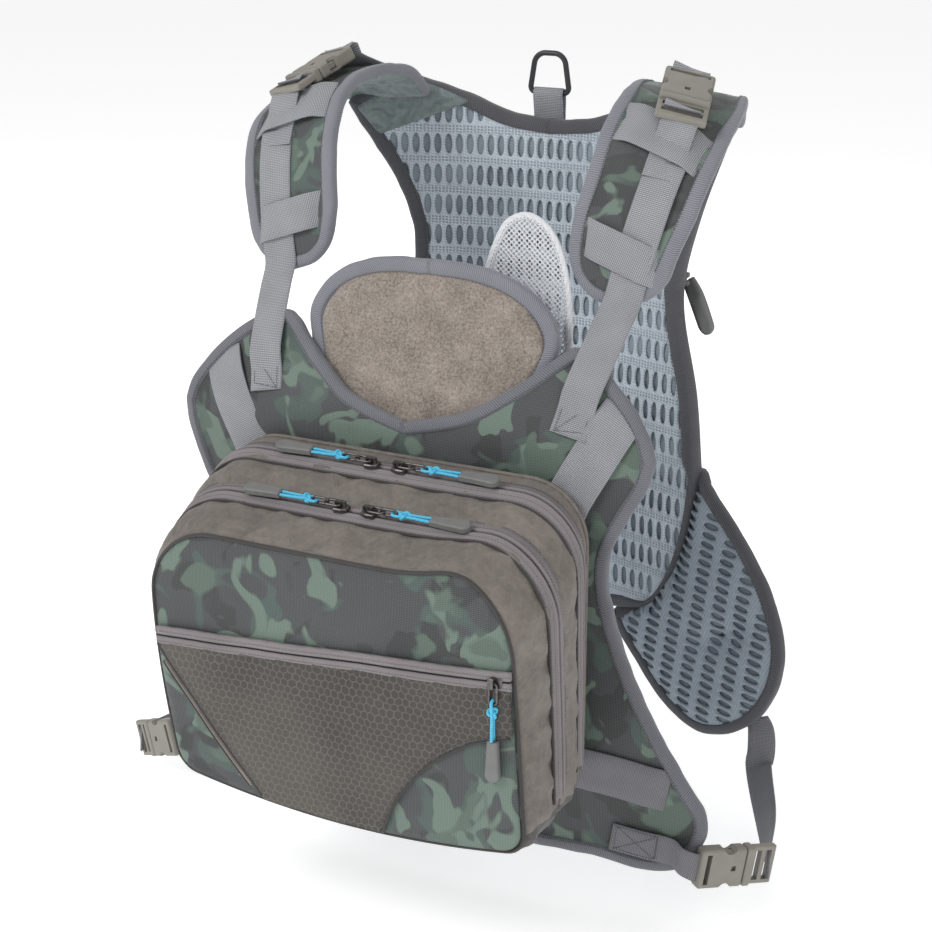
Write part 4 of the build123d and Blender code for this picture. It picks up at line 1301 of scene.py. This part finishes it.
def build_pocket(surface, face_ring):
    """The zipped front pocket: honeycomb cloth between two printed corners, with piped seams."""
    line = lambda x, drop: pocket_zip_level(x) - drop
    hung = sag(at_depth(face_ring * (0.985, 1), -220.0))
    rim = turned_left(even(hung[:, [0, 2]] + (0.0, 1.6), 3.0))
    below = below_line(rim, (200, line(200, 4)), (-200, line(-200, 4)))
    if below[:, 1].mean() > -330:
        below = below_line(rim, (-200, line(-200, 4)), (200, line(200, 4)))
    left_seam = [(-124, line(-124, 6)), (-104, -363), (-82, -389), (-64, -410), (-50, -427), (-38, -450)]
    right_seam = [(140, -344), (118, -350), (103, -356), (76, -376), (55, -402), (42, -430), (36, -450)]
    panel("pocket_corners", surface, below, 0.5, 1.9, "camo_back", "bag_front", cell=3.5,
          folds=0.5, seed=43)
    left = spline(left_seam, 3)
    right = spline(right_seam, 3)
    hexes = np.vstack([[(-120, line(-120, 4))], [(136, line(136, 4))], right, left[::-1]])
    kept = inside(hexes, turned_left(below))
    spot = nearest(hexes, below)[1]
    hexes = np.where(kept[:, None], hexes, spot)
    panel("pocket_face", surface, turned_left(even(hexes, 3.0)), 1.8, 3.6, "hex", "bag_front",
          puff=1.6, soft=16, folds=0.7, fold_size=45, seed=45, cell=3.5, replaces=("pocket_panel",))
    for name, seam in (("left", left), ("right", right)):
        seam = seam[inside(seam, turned_left(below))]
        tube(f"pocket_piping_{name}", place(surface, seam, 3.2), 0.9, "piping", "bag_front")
        if name == "left":
            beside = seam[4:-3] + (-4.4, -3.0)
            beside = beside[inside(beside, turned_left(below))]
            tube("pocket_piping_outer", place(surface, beside, 2.0), 0.8, "piping", "bag_front")
            tube("pocket_piping_band", place(surface, beside + (2.2, 1.5), 1.6), 1.9, "taupe", "bag_front")
        row = seam + (3.0 if name == "left" else -3.0, 1.0)
        seam_row(f"pocket_stitches_{name}", surface, row, 5.0, "bag_front", pitch=3.0, length=2.1)
    xs = np.linspace(-125, 129, 84)
    for name, near, far in (("upper", 0.7, 6.2), ("lower", -6.2, -0.7)):
        strip = np.vstack([np.stack([xs, line(xs, -near)], 1), np.stack([xs[::-1], line(xs[::-1], -far)], 1)])
        panel(f"pocket_zip_{name}", surface, turned_left(strip), 1.2, 3.4, "tape", "bag_front",
              puff=1.4, soft=3, cell=2.6, replaces=("pocket_zip",))
        row = np.stack([xs, line(xs, -(near + far) / 2)], 1)
        seam_row(f"pocket_zip_{name}_stitches", surface, row, 4.6, "bag_front", pitch=3.0, length=2.1,
                 radius=FINE_THREAD)
    coil = np.stack([xs, line(xs, 0)], 1)
    seam_row("pocket_zip_coil", surface, coil, 2.6, "bag_front", pitch=1.4, length=0.95, radius=1.0,
             paint="black")


# ================================================================ zip pulls
SLIDER_TILT = 17.0
PIVOT_HEIGHT = 4.4
POCKET_SLIDER_X = 119.0


def pull_frame(name):
    """Local x runs out along the pull, z off the cloth, and the origin is the pull's pivot."""
    tilt = math.radians(SLIDER_TILT)
    if name == "pocket":
        base, x, z = (POCKET_SLIDER_X, -223.1, pocket_zip_level(POCKET_SLIDER_X)), (0, 0, -1), (0, -1, 0)
    else:
        which, side = name.split("_")
        sign = 1 if side == "left" else -1
        y, top = (-141.0, -226.0) if which == "rear" else (-180.0, -243.0)
        base, x, z = (sign * 10, y, top + 2.7), (sign, 0, 0), (0, -math.sin(tilt), math.cos(tilt))
    turn = np.stack([x, np.cross(z, x), z])
    return lambda points: np.array(base) + turn[2] * PIVOT_HEIGHT + np.asarray(points, float) @ turn


def build_pull(name):
    body = f"{name}_pull"
    at = pull_frame(name)
    upright = name == "pocket"
    turn = (lambda x, s: (x, 0, s)) if upright else (lambda x, s: (x, s, 0))
    start = 12.1 if upright else 18.1
    stop = start + 26
    route = [turn(stop - 0.5, -1.7), turn(start + 15, -1.3), turn(start + 8, -1.1), turn(start + 3.5, -2.2),
             turn(start - 1.0, -2.2), turn(start - 1.0, 2.2), turn(start + 3.5, 2.2), turn(start + 8, 1.1),
             turn(start + 15, 1.3), turn(stop - 0.5, 1.7)]
    route = at(route) * MM
    data = bpy.data.curves.new(f"{name}_pull_cord", "CURVE")
    data.dimensions = "3D"
    data.bevel_depth, data.bevel_resolution, data.resolution_u = 0.00095, 4, 8
    line = data.splines.new("NURBS")
    line.points.add(len(route) - 1)
    for point, place_at in zip(line.points, route):
        point.co = (*place_at, 1.0)
    line.order_u = 3
    line.use_endpoint_u = True
    data.use_fill_caps = True
    data.materials.append(PAINTS["cord"])
    cord = add(bpy.data.objects.new(f"{name}_pull_cord", data))
    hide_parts(f"{name}_cord")
    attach(cord, body)
    t = np.linspace(0, math.tau, 72, endpoint=False)
    knot = np.stack([np.sin(t) + 2 * np.sin(2 * t), np.cos(t) - 2 * np.cos(2 * t), -np.sin(3 * t) * 1.5], 1)
    knot = knot * (1.15, 1.0, 0.75) + (start + 7, 0, 0)
    tie = tube(f"{name}_pull_knot", at(knot), 1.0, "cord", body, closed=True, ring=8)


# ================================================================ waist belt and wings
WAIST_TAIL = {"left": (243, -57, -489), "right": (-254, -82, -502)}
WAIST_END = {"left": (205, -102, -479), "right": (-205, -103, -480)}


BOX_SEAM = ((151, -460), (178, -464), (176, -481), (149, -477))      # corners of the seam on each waist tab


def wing_outline():
    return outline([(60, -404), (81, -386)], [(81, -386), (119, -280)],
                   [(119, -280), (131, -274), (152, -293), (178, -322), (197, -351), (208, -384), (205, -417),
                    (190, -446), (166, -466), (140, -472), (110, -458), (84, -432), (60, -404)])


def build_waist():
    rim = turned_left(wing_outline())

    def dent(s):
        """The crease across the middle of the wing."""
        along = (s[:, 0] - 160) * 0.8 + (s[:, 1] + 392) * 0.6
        across = (s[:, 1] + 392) * 0.8 - (s[:, 0] - 160) * 0.6
        return -5.0 * np.exp(-((along / 24) ** 2 + (across / 9) ** 2)) * np.where(across > 0, 1.0, 0.8)

    for sign, side in SIDES:
        surface = mirrored(wing_surface, sign)
        edge = turned_left(flip(rim, sign))
        panel(f"waist_wing_pad_{side}", surface, edge, -6.6, -3.6, "camo_back", "harness",
              puff_low=6.0, folds=0.7, seed=51 + sign, replaces=(f"waist_wing_{side}",),
              simulate=(3.0, 2.5, 0.01))
        rise = lambda s: np.clip((nearest(s, edge)[0] - 5) / 17, 0, 1)
        lift = lambda s: 3.8 * rise(s) * (2 - rise(s)) - 1.0 + dent(s * (sign, 1))
        panel(f"waist_wing_floor_{side}", surface, edge, -3.2, -2.4, "wing_floor", "harness",
              puff=3.2, puff_low=-3.2, soft=16, dent=lambda s: dent(s * (sign, 1)),
              replaces=("wing_linings",))
        lattice(f"waist_wing_face_{side}", surface, edge, (7.2, 17.5), (5.3, 12.4), 0.2, 1.0, "wing_knit",
                angle=math.radians(-97 * sign), lift=lift)
        binding(f"waist_wing_binding_{side}", surface, edge, -6.4, 0.2, 9.0, paint="dark_binding")

        face = mirrored(front_surface, sign)
        tail, end = np.array(WAIST_TAIL[side], float), np.array(WAIST_END[side], float)
        at = socket_frame(tail + unit(end - tail) * SOCKET_DEPTH, end - tail, (0, 0, sign))
        spots = np.array([(147, -468.5), (168, -471.5), (187, -474)]) * (sign, 1)
        on_panel = place(face, spots, 2.4)
        reach = at([(0, 0, 36), (0, 0, 30), (0, 2.5, 28.6)])
        bridge = (on_panel[-1] + reach[0]) / 2 + (0, -2.5, 0)
        webbing(f"waist_tab_{side}", np.vstack([on_panel, [bridge], reach]), (0, 0, 1), 20, "harness",
                paint="waist", replaces=("waist_tabs",))
        box = flip([BOX_SEAM[k] for k in (0, 1, 2, 3, 0, 2, 1, 3)], sign)
        seam_row(f"waist_tab_stitches_{side}", face, even(box, 2.0, False), 3.4, "harness", pitch=2.8,
                 length=2.0)

        start = np.array([197.0 * sign, 56, -471])
        low = at([(0, 0, -22), (0, -3.2, -19)])
        upper = place(surface, np.array([(190.0 * sign, -446), (194.0 * sign, -455)]), -5.0)
        slack = (start * 0.45 + low[0] * 0.55) + np.array([0, 4, -10.0])
        rear = (start + np.array([0, -4, -10]))
        turn = [(0.96 * sign, -0.29, 0), (0.95 * sign, 0.0, 0.1), (0.85 * sign, 0.3, 0.3),
                (0.75 * sign, 0.4, 0.5), (0.5 * sign, 0.3, 0.8), (0, 0, 1), (0, 0, 1)]
        belt = webbing(f"waist_belt_{side}", np.vstack([upper, [start, rear, slack], low]), turn, 20, None,
                       paint="waist", replaces=(f"waist_webbing_{side}",))
        tuple(low[0] * MM)
        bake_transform(belt)


# ================================================================ ring at the neck, carried-over CAD nodes
def build_ring():
    bar = np.array([-7, 117.3, -18.0])
    line = [bar + (0, 2.2, -38), bar + (0, 3.1, -14), bar + (0, 3.2, -2)]
    line += [bar + (0, 2.2, 2.2), bar + (0, -1.0, 3.2), bar + (0, -3.2, 0.4), bar + (0, -2.6, -6),
             bar + (0, -1.0, -16), bar + (0, -1.2, -38)]
    webbing("ring_loop_webbing", np.array(line), (1, 0, 0), 23, "harness", replaces=("d_ring_loop",))


def look_of(name):
    """The material slot and paint of a CAD node that stays."""
    if name.endswith(("_slider", "_link")):
        return "slider_metal", "metal"
    if name.endswith("_grip"):
        return "pull_rubber", "rubber"
    if name == "d_ring":
        return "ring_plastic", "black"
    return "buckle_plastic", "buckle"


def carry_over():
    """Materials and shading for the CAD nodes that stay."""
    for name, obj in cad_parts.items():
        if obj.hide_render:
            continue
        slot, paint = look_of(name)
        obj.data.materials.clear()
        obj.data.materials.append(PAINTS[paint])
        obj.data.polygons.foreach_set("use_smooth", [True] * len(obj.data.polygons))
        edges = obj.modifiers.new("edges", "EDGE_SPLIT")
        edges.split_angle = math.radians(38)


camera()
studio()
build_back()
build_straps()
build_front()
build_bag()
for pull in ("rear_left", "rear_right", "front_left", "front_right", "pocket"):
    build_pull(pull)
build_waist()
build_ring()
carry_over()
